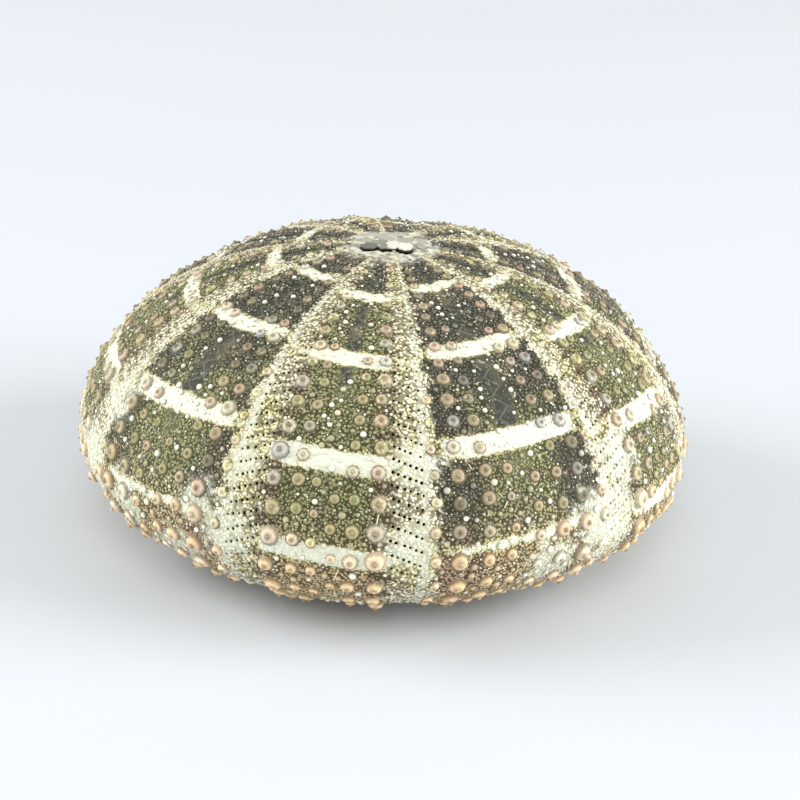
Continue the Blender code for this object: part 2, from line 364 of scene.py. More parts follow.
def brown_mask(meridian, azimuth, arc):
    """Stains beside each pore zone, strongest where two plates meet."""
    width = np.abs(from_middle(azimuth))
    row = row_of(meridian, shifted_arc(meridian, azimuth, arc))
    border = np.abs(2 * (row % 1) - 1) ** 2
    beside = swell(width - BROWN_STAIN_AT, BROWN_STAIN_WIDTH)
    return beside * (0.25 + 0.75 * border) * (0.5 + 0.5 * ramp(arc, *BROWN_GROWS))


def tints(meridian, azimuth, arc):
    """Where a place lies in the shell's pattern, as masks from 0 to 1."""
    width = np.abs(from_middle(azimuth))
    in_zone = np.minimum((width - PALE_FROM) / PALE_EDGE_FROM, (PALE_TO - width) / PALE_EDGE_TO)
    return {
        "band": band_mask(meridian, azimuth, arc),
        "cream": (0.5 + in_zone).clip(0, 1),
        "grey": grey_mask(azimuth, arc),
        "chalk": chalk_mask(meridian, azimuth, arc),
        "brown": brown_mask(meridian, azimuth, arc),
        "low": ramp(arc, *SAND_GROWS),
    }


def collar(arc):
    """The smooth pale ring outside the apical plates."""
    return 1 - ramp(arc, *COLLAR_ENDS)


def bareness(azimuth, arc):
    """How free of grain a place is: the middles of the upper plates are smooth."""
    width = np.abs(from_middle(azimuth))
    inter = np.exp(-(((HALF_SECTOR - width) / INTER_BARE_WIDTH) ** 4))
    inter *= 1 - ramp(arc, *INTER_BARE_ENDS)
    amb = np.exp(-((width / AMB_BARE_WIDTH) ** 4)) * (1 - ramp(arc, *AMB_BARE_ENDS))
    return np.maximum(np.maximum(inter, amb), collar(arc))


def make_piece(name, points, triangles, values, material):
    """A mesh object from arrays, with one float attribute for each named value."""
    points = points.copy()
    points[:, 2] = points[:, 2].clip(0)  # what it rests on is worn flat
    mesh = bpy.data.meshes.new(name)
    mesh.vertices.add(len(points))
    mesh.vertices.foreach_set("co", points.astype(np.float32).ravel())
    mesh.loops.add(3 * len(triangles))
    mesh.loops.foreach_set("vertex_index", triangles.astype(np.int32).ravel())
    mesh.polygons.add(len(triangles))
    mesh.polygons.foreach_set("loop_start", np.arange(0, 3 * len(triangles), 3, dtype=np.int32))
    for key, value in values.items():
        attribute = mesh.attributes.new(key, "FLOAT", "POINT")
        attribute.data.foreach_set("value", value.astype(np.float32))
    mesh.update(calc_edges=True)
    mesh.shade_smooth()
    mesh.materials.append(material)
    piece = bpy.data.objects.new(name, mesh)
    bpy.context.scene.collection.objects.link(piece)
    return piece


def own_piece(piece):
    """The piece belongs to the shell, and moves with it."""
    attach(piece, "root")
    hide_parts(NODE)


def joined(parts):
    """The points, triangles and values of several parts, as those of one mesh."""
    starts = np.cumsum([0] + [len(points) for points, _, _ in parts])
    points = np.concatenate([points for points, _, _ in parts])
    triangles = np.concatenate([faces + start for (_, faces, _), start in zip(parts, starts)])
    values = {key: np.concatenate([own[key] for _, _, own in parts]) for key in parts[0][2]}
    return points, triangles, values


def stacked(rings, sides, closed=True):
    """Triangles over a stack of rings and a tip after the last one, with the first ring closed."""
    triangles = []
    for ring in range(rings - 1):
        for i in range(sides):
            a, b = ring * sides + i, ring * sides + (i + 1) % sides
            triangles += [(a, b, b + sides), (a, b + sides, a + sides)]
    last = (rings - 1) * sides
    triangles += [(last + i, last + (i + 1) % sides, last + sides) for i in range(sides)]
    if closed:
        triangles += [(0, i + 1, i) for i in range(1, sides - 1)]
    return np.array(triangles)


def lathe(profile, sides):
    """A turned knob's unit points, as turn, radius and height, and its triangles."""
    turns = 2 * math.pi * np.arange(sides) / sides
    points = [(turn, radius, height) for radius, height in profile[:-1] for turn in turns]
    points.append((0.0, *profile[-1]))
    return np.array(points), stacked(len(profile) - 1, sides)


NEIGHBOURS = tuple(itertools.product((-1, 0, 1), repeat=3))


class Sites:
    """Places on the shell that carry a knob, with a test that keeps knobs apart.

    Large, middling and small knobs lie in nets of their own, whose mesh is as wide as the
    reach within which two of them can meet.
    """

    NETS = ((0.66 * MM, 2.7 * MM), (0.34 * MM, 1.5 * MM), (0.0, 0.8 * MM))

    def __init__(self, meridian):
        self.meridian = meridian
        self.cells = [{} for _ in self.NETS]
        self.groups = {}

    def fits(self, point, radius, gap):
        """Whether a knob can stand at a point with that gap round it."""
        for cells, (_, mesh) in zip(self.cells, self.NETS):
            i, j, k = (math.floor(c / mesh) for c in point)
            for a, b, c in NEIGHBOURS:
                for other, other_radius in cells.get((i + a, j + b, k + c), ()):
                    if math.dist(point, other) < radius + other_radius + gap:
                        return False
        return True

    def add(self, group, azimuth, arc, radius, gap=0.0, point=None, berth=0.0):
        """Takes a place if nothing else stands there, and keeps later ones a berth away."""
        if point is None:
            point = self.meridian.place(np.array(azimuth), np.array(arc)).tolist()
        if not self.fits(point, radius, gap):
            return False
        net = next(n for n, (least, _) in enumerate(self.NETS) if radius > least)
        cell = tuple(math.floor(c / self.NETS[net][1]) for c in point)
        self.cells[net].setdefault(cell, []).append((point, radius + berth))
        self.groups.setdefault(group, []).append((azimuth, arc, radius))
        return True

    def add_all(self, group, azimuth, arc, radius, gap):
        """Takes each place in turn that is still free; all five are arrays."""
        points = self.meridian.place(azimuth, arc)
        columns = (azimuth, arc, radius, gap, points)
        for a, b, c, d, point in zip(*(column.tolist() for column in columns)):
            self.add(group, a, b, c, d, point)

    def arrays(self, group):
        """Azimuths, distances from the apex and radii of a group's knobs."""
        return np.array(self.groups[group]).T


def plate_rows(meridian):
    """Distances from the apex of the middles of a column of plates, and each plate's height."""
    rows = []
    arc = meridian.apical_edge + PLATE_AT_APEX
    while arc < meridian.length - NOTCH_DEPTH - PLATE_AT_MOUTH:
        height = float(meridian.plate(arc))
        rows.append((arc, height))
        arc += height
    return rows


# Series of main tubercles: degrees from an ambulacrum's middle, from what share of the widest
# radius they start, and their size
AMB_SERIES = ((9.3, 0.0, 1.0), (4.9, 0.6, 0.8), (1.6, 0.93, 0.6))
INTER_SERIES = ((23.8, 0.0, 1.0), (28.8, 0.5, 0.86), (19.3, 0.72, 0.7), (33.4, 0.9, 0.68))


# Sizes at the apex, the widest level and the mouth, as shares of the driving ones
TUBERCLE_SHARES = (0.42, 1.0, 0.62)
PORE_SHARES = (0.68, 1.0, 0.75)
ZONE_BEAD_SHARES = (0.5, 0.7, 0.6)
BEAD_SHARES = (0.55, 1.0, 0.85)

# Room between a knob or pore and its neighbours; below zero, their rims may overlap
TUBERCLE_GAP = -0.2 * MM
PORE_GAP = 0.02 * MM
ZONE_BEAD_GAP = 0.03 * MM
BEAD_GAP, BEAD_GAP_IN_PORES = 0.5 * MM, 0.1 * MM
RING_GAP = -0.02 * MM
GRANULE_GAP = 0.04 * MM

# What stays clear at the edges
MOUTH_MARGIN, RING_MARGIN, NOTCH_MARGIN = 0.7 * MM, 0.4 * MM, 0.5 * MM
NOTCH_CLEARANCE = 1.35 * NOTCH_HALF_WIDTH
ZONE_BEADS_FROM = 9 * MM

# The ring of granules round a main tubercle: its reach past the rim, and how many stand in it
RING_REACH = 0.04 * MM
RING_LEAST, RING_PER_MM = 8, 9.5

# How many places are tried for each kind of scattered knob
ZONE_BEAD_TRIES, BEAD_TRIES, GRANULE_TRIES = 32000, 16000, 170000


def plant_tubercles(sites, sizes, rng):
    """A main tubercle of each series on every plate, a little out of line and uneven in size."""
    meridian = sites.meridian
    series = [("amb", *row) for row in AMB_SERIES] + [("inter", *row) for row in INTER_SERIES]
    places = itertools.product(range(SECTORS), (-1, 1), plate_rows(meridian), series)
    for sector, side, (arc, plate), (group, degrees, start, size) in places:
        here = arc + plate * STAGGER_SHIFT * side + rng.uniform(-0.3, 0.3) * MM
        azimuth = sector * SECTOR + side * (degrees + rng.uniform(-0.4, 0.4)) * DEG
        share = float(meridian.between(here, *TUBERCLE_SHARES))
        radius = sizes.tubercle * size * share * rng.uniform(0.86, 1.08)
        if meridian.radius(here) > start * sizes.radius:
            sites.add(group, azimuth, here, radius, TUBERCLE_GAP)


PORE_BERTH = 0.19 * MM  # how far grain keeps from a pore
PORE_TOP_GAP = 0.5 * MM
PORE_ARC_SHARE = 0.47  # step from one arc of pores to the next, as a share of a plate's height
PORE_ARC_LEAST = 1.25 * MM
PORE_PAIR_HALF, PORE_PAIR_SHARE = 0.36 * MM, 1.45  # least half distance of a pair, and in radii
PORE_PAIR_SLANT = 0.15 * MM


def pore_arcs(meridian, top, bottom):
    """Distances from the apex of the arcs of pore pairs, each with the step to the next one."""
    arc = top
    while arc < bottom:
        step = max(PORE_ARC_SHARE * float(meridian.plate(arc)), PORE_ARC_LEAST)
        yield arc, step
        arc += step


def plant_pores(sites, sizes, rng):
    """Pore pairs: arcs of three pairs across each pore zone, one list for each sector."""
    meridian = sites.meridian
    top = meridian.apical_edge + PORE_TOP_GAP
    bottom = meridian.length - NOTCH_DEPTH - MOUTH_MARGIN
    sectors = [[] for _ in range(SECTORS)]
    arcs = pore_arcs(meridian, top, bottom)
    pairs = itertools.product(range(SECTORS), (-1, 1), arcs, enumerate(PORE_PAIRS_AT))
    for sector, side, (arc, step), (index, degrees) in pairs:
        middle = arc + (index - 1) * step / 3 + side * step / 2 + rng.uniform(-0.1, 0.1) * MM
        radius = float(meridian.between(arc, *PORE_SHARES)) * sizes.pore
        turn = side * (degrees + rng.uniform(-0.25, 0.25)) * DEG
        half = max(PORE_PAIR_HALF, PORE_PAIR_SHARE * radius) / float(meridian.radius(arc))
        for end in (-1, 1):
            azimuth = sector * SECTOR + turn + end * half
            here = middle + end * side * PORE_PAIR_SLANT
            own = radius * rng.uniform(0.8, 1.15)
            inside = top < here < bottom
            if inside and sites.add("pores", azimuth, here, own, PORE_GAP, berth=PORE_BERTH):
                down = float(meridian.map_down(here))
                sectors[sector].append((azimuth - sector * SECTOR, down, here, own))
    return sectors


def scatter(meridian, rng, count):
    """Even picks over the outer surface, clear of the notches: azimuths and distances."""
    arcs = np.linspace(meridian.apical_edge, meridian.length - MOUTH_MARGIN, 400)
    weight = np.cumsum(meridian.radius(arcs))
    azimuth = 2 * math.pi * rng.random(count)
    arc = np.interp(weight[-1] * rng.random(count), weight, arcs)
    beside = np.abs(np.abs(from_middle(azimuth)) * DEG - NOTCH_AT) > NOTCH_CLEARANCE
    clear = beside | (arc < meridian.length - NOTCH_DEPTH - NOTCH_MARGIN)
    return azimuth[clear], arc[clear]


def thinned(meridian, azimuth, arc, rng, in_bands, in_pores):
    """Which picks may grow: fewer on smooth middles, in the pale bands and among the pores."""
    masks = tints(meridian, azimuth, arc)
    hold = np.maximum(bareness(azimuth, arc), in_bands * masks["band"])
    hold = np.maximum(hold, in_pores * masks["cream"] * ramp(arc, *PORES_CLEAR))
    hold = np.maximum(hold, 0.6 * masks["brown"])
    return rng.random(len(arc)) > hold


def plant_zone_beads(sites, sizes, rng):
    """Pale beads packed between the pores."""
    meridian = sites.meridian
    azimuth, arc = scatter(meridian, rng, ZONE_BEAD_TRIES)
    width = np.abs(from_middle(azimuth))
    packed = (width > PALE_FROM) & (width < PALE_TO) & (arc > ZONE_BEADS_FROM)
    azimuth, arc = azimuth[packed], arc[packed]
    share = meridian.between(arc, *ZONE_BEAD_SHARES)
    radius = sizes.bead * share * rng.uniform(0.75, 1.1, len(arc))
    sites.add_all("zone_beads", azimuth, arc, radius, np.full(len(arc), ZONE_BEAD_GAP))


def plant_beads(sites, sizes, rng):
    """Secondary tubercles, scattered where the main ones leave room."""
    meridian = sites.meridian
    azimuth, arc = scatter(meridian, rng, BEAD_TRIES)
    may = thinned(meridian, azimuth, arc, rng, 0.8, 0.4)
    azimuth, arc = azimuth[may], arc[may]
    width = np.abs(from_middle(azimuth))
    in_pores = (width > PORE_ZONE_FROM) & (width < ZONE_EDGE)
    share = meridian.between(arc, *BEAD_SHARES)
    radius = sizes.bead * share * rng.uniform(0.66, 1.25, len(arc))
    radius *= np.where(in_pores, 0.66, 1.0)
    sites.add_all("beads", azimuth, arc, radius, np.where(in_pores, BEAD_GAP_IN_PORES, BEAD_GAP))


def plant_granules(sites, sizes, rng):
    """The finest grain: a ring round each main tubercle, then all the room that is left."""
    meridian = sites.meridian
    for azimuth, arc, radius in sites.groups["amb"] + sites.groups["inter"]:
        count = max(RING_LEAST, round(RING_PER_MM * radius / MM))
        turn = rng.uniform(0, 2 * math.pi) + 2 * math.pi * np.arange(count) / count
        size = sizes.granule * rng.uniform(0.55, 0.85, count)
        reach = radius + size + RING_REACH
        here = arc + reach * np.sin(turn)
        there = azimuth + reach * np.cos(turn) / float(meridian.radius(arc))
        kept = (here > meridian.apical_edge) & (here < meridian.length - RING_MARGIN)
        gap = np.full(kept.sum(), RING_GAP)
        sites.add_all("granules", there[kept], here[kept], size[kept], gap)
    azimuth, arc = scatter(meridian, rng, GRANULE_TRIES)
    may = thinned(meridian, azimuth, arc, rng, 0.85, 0.55)
    size = sizes.granule * (0.5 + 0.6 * rng.random(len(arc)) ** 2)
    sites.add_all("granules", azimuth[may], arc[may], size[may], np.full(may.sum(), GRANULE_GAP))


class Knob(typing.NamedTuple):
    """A kind of knob: its outline and sides, and how far it rises and is set into the wall."""

    profile: tuple
    sides: int
    rise: float
    sink: float


def grow_knobs(meridian, name, sites, knob, rng, material, taller=1.0):
    """One joined mesh of turned knobs, each closed and set into the wall."""
    azimuth, arc, radius = sites
    unit, triangles = lathe(knob.profile, knob.sides)
    east, down, out = meridian.axes(azimuth, arc)
    foot = meridian.place(azimuth, arc)
    count, per_knob = len(azimuth), len(unit)
    turn = unit[None, :, 0] + rng.uniform(0, 2 * math.pi, (count, 1))
    reach = radius[:, None] * unit[None, :, 1] * rng.uniform(0.93, 1.07, (count, per_knob))
    height = (radius * knob.rise * taller)[:, None] * unit[None, :, 2] - knob.sink
    lean = rng.uniform(-0.06, 0.06, (2, count, 1)) * height
    points = (
        foot[:, None, :]
        + (reach * np.cos(turn) + lean[0])[..., None] * east[:, None, :]
        + (reach * np.sin(turn) + lean[1])[..., None] * down[:, None, :]
        + height[..., None] * out[:, None, :]
    ).reshape(-1, 3)
    faces = (triangles[None] + per_knob * np.arange(count)[:, None, None]).reshape(-1, 3)
    place = tints(meridian, azimuth, arc)
    place["tone"] = rng.random(count)
    place["hue"] = rng.random(count)
    values = {key: np.repeat(value, per_knob) for key, value in place.items()}
    values["reach"] = np.tile(unit[:, 1], count)
    piece = make_piece(name, points, faces, values, material)
    own_piece(piece)
    return piece


# Outlines of the knobs: radius and height as shares of the knob's radius, from the foot up
TUBERCLE_PROFILE = (
    (1.2, -0.1), (1.17, 0.06), (1.0, 0.08), (0.93, 0.3), (0.76, 0.47), (0.5, 0.6), (0.3, 0.63),
    (0.2, 0.8), (0.0, 0.88),
)
BEAD_PROFILE = ((1.0, -0.1), (0.94, 0.36), (0.66, 0.78), (0.0, 1.0))
GRANULE_PROFILE = ((1.0, -0.1), (0.8, 0.55), (0.0, 1.0))
TUBERCLE = Knob(TUBERCLE_PROFILE, 10, 1.0, 0.05 * MM)
BEAD = Knob(BEAD_PROFILE, 7, 0.9, 0.05 * MM)
ZONE_BEAD = Knob(BEAD_PROFILE, 6, 0.5, 0.05 * MM)
GRANULE = Knob(GRANULE_PROFILE, 4, 1.0, 0.04 * MM)


def mouth_edge():
    """The mouth's edge over one fifth, as azimuths and how far up the wall each lies."""
    half = [(0.0, 0.0), (NOTCH_AT / 2, 0.0)]
    half += [(NOTCH_AT - NOTCH_HALF_WIDTH, 0.0), (NOTCH_AT - NOTCH_BOTTOM_HALF_WIDTH, NOTCH_DEPTH)]
    half += [(NOTCH_AT + NOTCH_BOTTOM_HALF_WIDTH, NOTCH_DEPTH), (NOTCH_AT + NOTCH_HALF_WIDTH, 0.0)]
    half += [(SECTOR / 2, 0.0)]
    whole = [(-azimuth, up) for azimuth, up in reversed(half[1:])] + half
    fine = []
    for (a, up_a), (b, up_b) in zip(whole, whole[1:]):
        pieces = max(1, round(abs(b - a) / MOUTH_STEP))
        fine += [(a + (b - a) * i / pieces, up_a + (up_b - up_a) * i / pieces) for i in range(pieces)]
    return fine + [whole[-1]]


def top_count(meridian, spacing, top_arc):
    """How many steps the top edge of one fifth is cut into."""
    return max(4, round(SECTOR * float(meridian.radius(top_arc)) / spacing))


def sector_rim(meridian, spacing, top_arc):
    """The edge of one fifth on the map."""
    count = top_count(meridian, spacing, top_arc)
    top = [(SECTOR * (i / count - 0.5), float(meridian.map_down(top_arc))) for i in range(count + 1)]
    mouth = [(a, float(meridian.map_down(meridian.length - up))) for a, up in mouth_edge()]
    count = round((meridian.length - top_arc) / spacing)
    arcs = np.linspace(top_arc, meridian.length, count + 1)[1:-1]
    side = [float(d) for d in meridian.map_down(arcs)]
    right = [(SECTOR / 2, d) for d in side]
    left = [(-SECTOR / 2, d) for d in reversed(side)]
    return top + right + mouth[::-1] + left


def fill_points(meridian, spacing, top_arc, rng):
    """Scattered map points between the edges, a set spacing apart on the shell."""
    points = []
    arc = top_arc + spacing
    last = meridian.length - spacing
    row = 0
    while arc < last:
        count = max(3, round(SECTOR * float(meridian.radius(arc)) / spacing))
        for i in range(1, count):
            wander = rng.uniform(-0.25, 0.25)
            azimuth = SECTOR * ((i + wander + (row % 2) * 0.5) / count - 0.5)
            here = arc + rng.uniform(-0.2, 0.2) * spacing
            up = max(0.0, 1 - abs(abs(azimuth) - NOTCH_AT) / NOTCH_HALF_WIDTH)
            if azimuth < SECTOR / 2 * SEAM_SHARE and here < last - (NOTCH_DEPTH if up > 0 else 0):
                points.append((azimuth, float(meridian.map_down(here))))
        arc += spacing * ROW_SHARE
        row += 1
    return points


INSIDE_RIM, MAP_TOLERANCE = 1, 1e-7  # what the triangulation keeps, and how exact it is


def wrap(rim, points):
    """Triangles between map points, inside the rim."""
    everything = rim + points
    edges = [(k, (k + 1) % len(rim)) for k in range(len(rim))]
    flipped = [(a, -d) for a, d in everything]
    made = delaunay_2d_cdt(flipped, edges, [], INSIDE_RIM, MAP_TOLERANCE)
    flat, _, faces, origins = made[:4]
    corners = np.array([(c[0], -c[1]) for c in flat])
    return corners, np.array(faces), [origin[0] for origin in origins]


def relief(points):
    """Uneven growth of the wall."""
    return np.array([noise.noise(Vector(p) * ROUGH_SCALE) for p in points]) * ROUGH_HEIGHT


PORE_SIDES = 6
PORE_DEPTH = 0.5 * MM
PORE_RINGS = ((1.0, 0.0), (0.78, 1.0))  # radius and depth of a pore's edge and of its floor
FILL_SPACING = 0.74 * MM
INNER_SPACING = 2.4 * MM
ROW_SHARE = 0.87  # step from row to row of a triangular net, as a share of its spacing
SEAM_SHARE = 0.985  # how near to the seam of a fifth its points may lie
SEAM_REACH = 0.02 * MM  # how near two corners lie that the seams join
INNER_TOP = 2 * MM  # where the inner surface starts, from the apex
LID_RINGS = 9
ROUGH_SCALE, ROUGH_HEIGHT = 900.0, 0.07 * MM  # unevenness: noise per metre, and height
MAP_CELL = 0.02  # size of the cells that pores are looked up by
PORE_CLEARANCE = 1.5  # how near to a pore's middle the wall's other points come, in radii


def outer_sector(meridian, pores, rng):
    """One fifth of the outer surface: map corners, faces, heights and how deep in a pore each is."""
    points, heights, depths, cells = [], [], [], {}
    for azimuth, down, here, radius in pores:
        scale = radius / float(meridian.radius(here))
        cell = (int(azimuth // MAP_CELL), int(down // MAP_CELL))
        cells.setdefault(cell, []).append((azimuth, down, scale))
        for share, depth in PORE_RINGS:
            for k in range(PORE_SIDES):
                turn = 2 * math.pi * k / PORE_SIDES
                reach = share * scale
                points.append((azimuth + reach * math.sin(turn), down + reach * math.cos(turn)))
                heights.append(-PORE_DEPTH * depth)
                depths.append(depth)
    for azimuth, down in fill_points(meridian, FILL_SPACING, meridian.apical_edge, rng):
        i, j = int(azimuth // MAP_CELL), int(down // MAP_CELL)
        around = itertools.product((i - 1, i, i + 1), (j - 1, j, j + 1))
        near = [pore for cell in around for pore in cells.get(cell, ())]
        if all(math.hypot(azimuth - a, down - d) > PORE_CLEARANCE * reach for a, d, reach in near):
            points.append((azimuth, down))
            heights.append(0.0)
            depths.append(0.0)
    rim = sector_rim(meridian, FILL_SPACING, meridian.apical_edge)
    corners, faces, origins = wrap(rim, points)
    heights = np.array([0.0] * len(rim) + heights)[origins]
    depths = np.array([0.0] * len(rim) + depths)[origins]
    return corners, faces, heights, depths


# Hollows in front of the middle apical plates, in mm: middle across, towards the front, half sizes
CREVICES = ((-3.5, 1.8, 1.6, 1.5), (-0.9, 2.2, 1.25, 1.2), (2.2, 1.9, 1.5, 1.75))
CREVICE_DEPTH = 0.5 * MM
CREVICE_EDGE = (0.86, 1.06)  # shares of a hollow's size over which the wall drops

# Ribs of the pore zones and furrows down the bare middles near the apex, in degrees and metres
RIB_AT, RIB_WIDTH, RIB_HEIGHT = 14.8, 3.2, 0.35 * MM
INTER_FURROW_WIDTH, AMB_FURROW_WIDTH, FURROW_DEPTH = 3.0, 2.6, 0.3 * MM
RELIEF_STARTS, RELIEF_ENDS = (7 * MM, 9 * MM), (16 * MM, 44 * MM)
EDGE_FADE = (0.0, 1.5 * MM)  # distances from the mouth's edge over which the relief starts


def apical_hollow(azimuth, arc):
    """How far inside the hollows in front of the middle plates a place is."""
    turn = azimuth - APICAL_TURN
    across, near = arc * np.sin(turn) / MM, arc * np.cos(turn) / MM
    deep = np.zeros_like(across)
    for x, y, wide, long in CREVICES:
        edge = np.hypot((across - x) / wide, (near - y) / long)
        deep = np.maximum(deep, 1 - ramp(edge, *CREVICE_EDGE))
    return deep


def wall_height(azimuth, arc):
    """Broad relief of the outer surface: ribs of the pore zones and bare furrows near the apex."""
    width = np.abs(from_middle(azimuth))
    near_apex = (1 - ramp(arc, *RELIEF_ENDS)) * ramp(arc, *RELIEF_STARTS)
    rib = RIB_HEIGHT * swell(width - RIB_AT, RIB_WIDTH)
    bare = swell(HALF_SECTOR - width, INTER_FURROW_WIDTH) + swell(width, AMB_FURROW_WIDTH)
    return (rib - FURROW_DEPTH * bare) * near_apex - CREVICE_DEPTH * apical_hollow(azimuth, arc)


def lid_part(meridian):
    """The outer surface inside the apical edge, as rings about the apex."""
    count = SECTORS * top_count(meridian, FILL_SPACING, meridian.apical_edge)
    azimuth = np.tile(SECTOR * (-0.5) + 2 * math.pi * np.arange(count) / count, LID_RINGS)
    shares = 1 - np.arange(LID_RINGS) / LID_RINGS
    arc = np.repeat(shares * meridian.apical_edge, count)
    faces = stacked(LID_RINGS, count, closed=False)[:, ::-1]
    return np.append(azimuth, 0.0), np.append(arc, 0.0), faces


def outer_lift(meridian, azimuth, arc):
    """How far the outer surface stands out from the plain outline."""
    fine = relief(meridian.place(azimuth, arc))
    fade = ramp(meridian.length - arc, *EDGE_FADE)
    return (fine + wall_height(azimuth, arc)) * fade


def outer_parts(meridian, pores, rng):
    """The outer surface, as parts with azimuths, arcs, heights, how deep in a pore, and faces."""
    parts = []
    for sector in range(SECTORS):
        corners, faces, heights, depths = outer_sector(meridian, pores[sector], rng)
        azimuth = corners[:, 0] + sector * SECTOR
        arc = meridian.arc_of(corners[:, 1])
        parts.append((azimuth, arc, heights + outer_lift(meridian, azimuth, arc), depths, faces))
    azimuth, arc, faces = lid_part(meridian)
    height = outer_lift(meridian, azimuth, arc)
    # the crevices in front of the middle plates carry a depth value that paints shade into them
    parts.append((azimuth, arc, height, 0.6 * apical_hollow(azimuth, arc), faces))
    return parts


def inner_parts(meridian, thickness, rng):
    """The plain inner surface, as parts like those of the outer one."""
    rim = sector_rim(meridian, INNER_SPACING, INNER_TOP)
    corners, faces, _ = wrap(rim, fill_points(meridian, INNER_SPACING, INNER_TOP, rng))
    arc = meridian.arc_of(corners[:, 1])
    level = np.zeros(len(arc))
    parts = []
    for sector in range(SECTORS):
        azimuth = corners[:, 0] + sector * SECTOR
        parts.append((azimuth, arc, level - thickness, level, faces[:, ::-1]))
    return parts


def wall_values(meridian, azimuth, arc):
    """What the wall's material reads at each corner."""
    values = tints(meridian, azimuth, arc)
    values["bare"] = bareness(azimuth, arc)
    for name, start in (("across_inter", SECTOR / 2), ("across_amb", 0.0)):
        values[name] = from_middle(azimuth + start) * DEG * meridian.radius(arc) / MM
    values["row"] = row_of(meridian, arc)
    values["far"] = arc / MM
    return values


def build_wall(meridian, pores, thickness, material, rng):
    """The hollow wall, with both surfaces in one closed mesh."""
    surfaces = [(1.0, part) for part in outer_parts(meridian, pores, rng)]
    surfaces += [(0.0, part) for part in inner_parts(meridian, thickness, rng)]
    parts = []
    for outer, (azimuth, arc, height, depth, faces) in surfaces:
        values = wall_values(meridian, azimuth, arc)
        values["depth"] = depth
        values["outer"] = np.full(len(arc), outer)
        parts.append((meridian.place(azimuth, arc, height), faces, values))
    piece = make_piece("wall", *joined(parts), material)
    close_wall(piece, meridian)
    own_piece(piece)
    return piece


def close_wall(piece, meridian):
    """Joins the sectors, closes the inner surface at the apex and joins both at the mouth."""
    bm = bmesh.new()
    bm.from_mesh(piece.data)
    bmesh.ops.remove_doubles(bm, verts=bm.verts, dist=SEAM_REACH)
    around_apex = []
    around_mouth = []
    for edge in bm.edges:
        if edge.is_boundary:
            above = edge.verts[0].co.z > meridian.widest_z
            (around_apex if above else around_mouth).append(edge)
    made = bmesh.ops.extrude_edge_only(bm, edges=around_apex)["geom"]
    verts = [v for v in made if isinstance(v, bmesh.types.BMVert)]
    middle = sum((v.co for v in verts), Vector()) / len(verts)
    bmesh.ops.pointmerge(bm, verts=verts, merge_co=middle)
    bmesh.ops.bridge_loops(bm, edges=around_mouth)
    bmesh.ops.triangulate(bm, faces=bm.faces)
    bmesh.ops.recalc_face_normals(bm, faces=bm.faces)
    bm.to_mesh(piece.data)
    bm.free()
    piece.data.shade_smooth()


# Apical plates, in mm: middle across and towards the front, half sizes, lumpiness and paleness.
# The pale pair are the two lobes of the sieve plate.
APICAL_PLATES = (
    (0.3, 0.6, 1.25, 2.1, 0.05, 0.6), (2.3, 1.2, 1.4, 1.8, 0.07, 0.7),
    (-0.95, 1.6, 1.1, 1.1, 0.08, -0.2), (-3.5, 1.1, 1.4, 1.4, 0.05, -0.5),
    (-1.9, -0.9, 1.5, 1.3, 0.04, -0.1), (4.8, 0.3, 0.9, 1.5, 0.06, 0.1),
    (-4.4, -1.9, 1.6, 1.5, 0.03, 0.1), (-0.9, -3.3, 1.7, 1.4, 0.03, 0.15),
    (2.2, -2.4, 1.6, 1.5, 0.03, 0.1), (4.9, -2.6, 1.1, 1.4, 0.03, 0.15),
    (0.6, -5.5, 2.2, 1.0, 0.03, 0.2), (-3.5, -4.9, 1.6, 1.0, 0.03, 0.2),
)
PLATE_CORNERS = 9
PLATE_RINGS = ((1.0, -0.5), (1.0, 0.16), (0.95, 0.32), (0.8, 0.4), (0.4, 0.44))
# Painted shade on the plates' side rings
PLATE_RIM_SHADE = (1.0, 1.0, 0.25, 0.0, 0.0)  # how dark each ring is
PLATE_LEVELS = ((-2.0, 1.0), (-0.36, -0.14))  # places towards the front in mm, and levels there
PALE_LIFT = 0.1  # how much higher a pale plate lies, in mm
LUMP_SCALE, LUMP_HEIGHT, LUMP_SHIFT = 1.6, 2.2, 37  # the lumps' noise


def rounded(corners, rounds=2):
    """A closed outline with its corners cut again and again."""
    for _ in range(rounds):
        ahead = corners[1:] + corners[:1]
        sides = itertools.product(zip(corners, ahead), (0.25, 0.75))
        corners = [tuple(a + (b - a) * t for a, b in zip(*side)) for side, t in sides]
    return corners


def apical_outline(plate, rng):
    """An uneven oval, in mm on the flat map, turned with the apical system."""
    across, near, wide, deep = plate[:4]
    corners = []
    for k in range(PLATE_CORNERS):
        turn = 2 * math.pi * k / PLATE_CORNERS
        uneven = rng.uniform(0.92, 1.14)
        u = across + wide * uneven * math.sin(turn)
        v = near + deep * uneven * math.cos(turn)
        sin, cos = math.sin(APICAL_TURN), math.cos(APICAL_TURN)
        corners.append((u * cos + v * sin, u * sin - v * cos))
    return rounded(corners)


def plate_mesh(outline, lumps):
    """A low plate with a rounded edge over an outline in mm, as closed rings."""
    middle = np.mean(outline, axis=0)
    points = []
    for shrink, height in PLATE_RINGS:
        for corner in outline:
            x, y = middle + shrink * (np.array(corner) - middle)
            rough = noise.noise(Vector((x * LUMP_SCALE, y * LUMP_SCALE, lumps * LUMP_SHIFT)))
            points.append((x, y, height + (LUMP_HEIGHT * lumps * rough if height > 0 else 0)))
    points.append((*middle, PLATE_RINGS[-1][1] + lumps / 2))
    return np.array(points), stacked(len(PLATE_RINGS), len(outline))[:, ::-1]


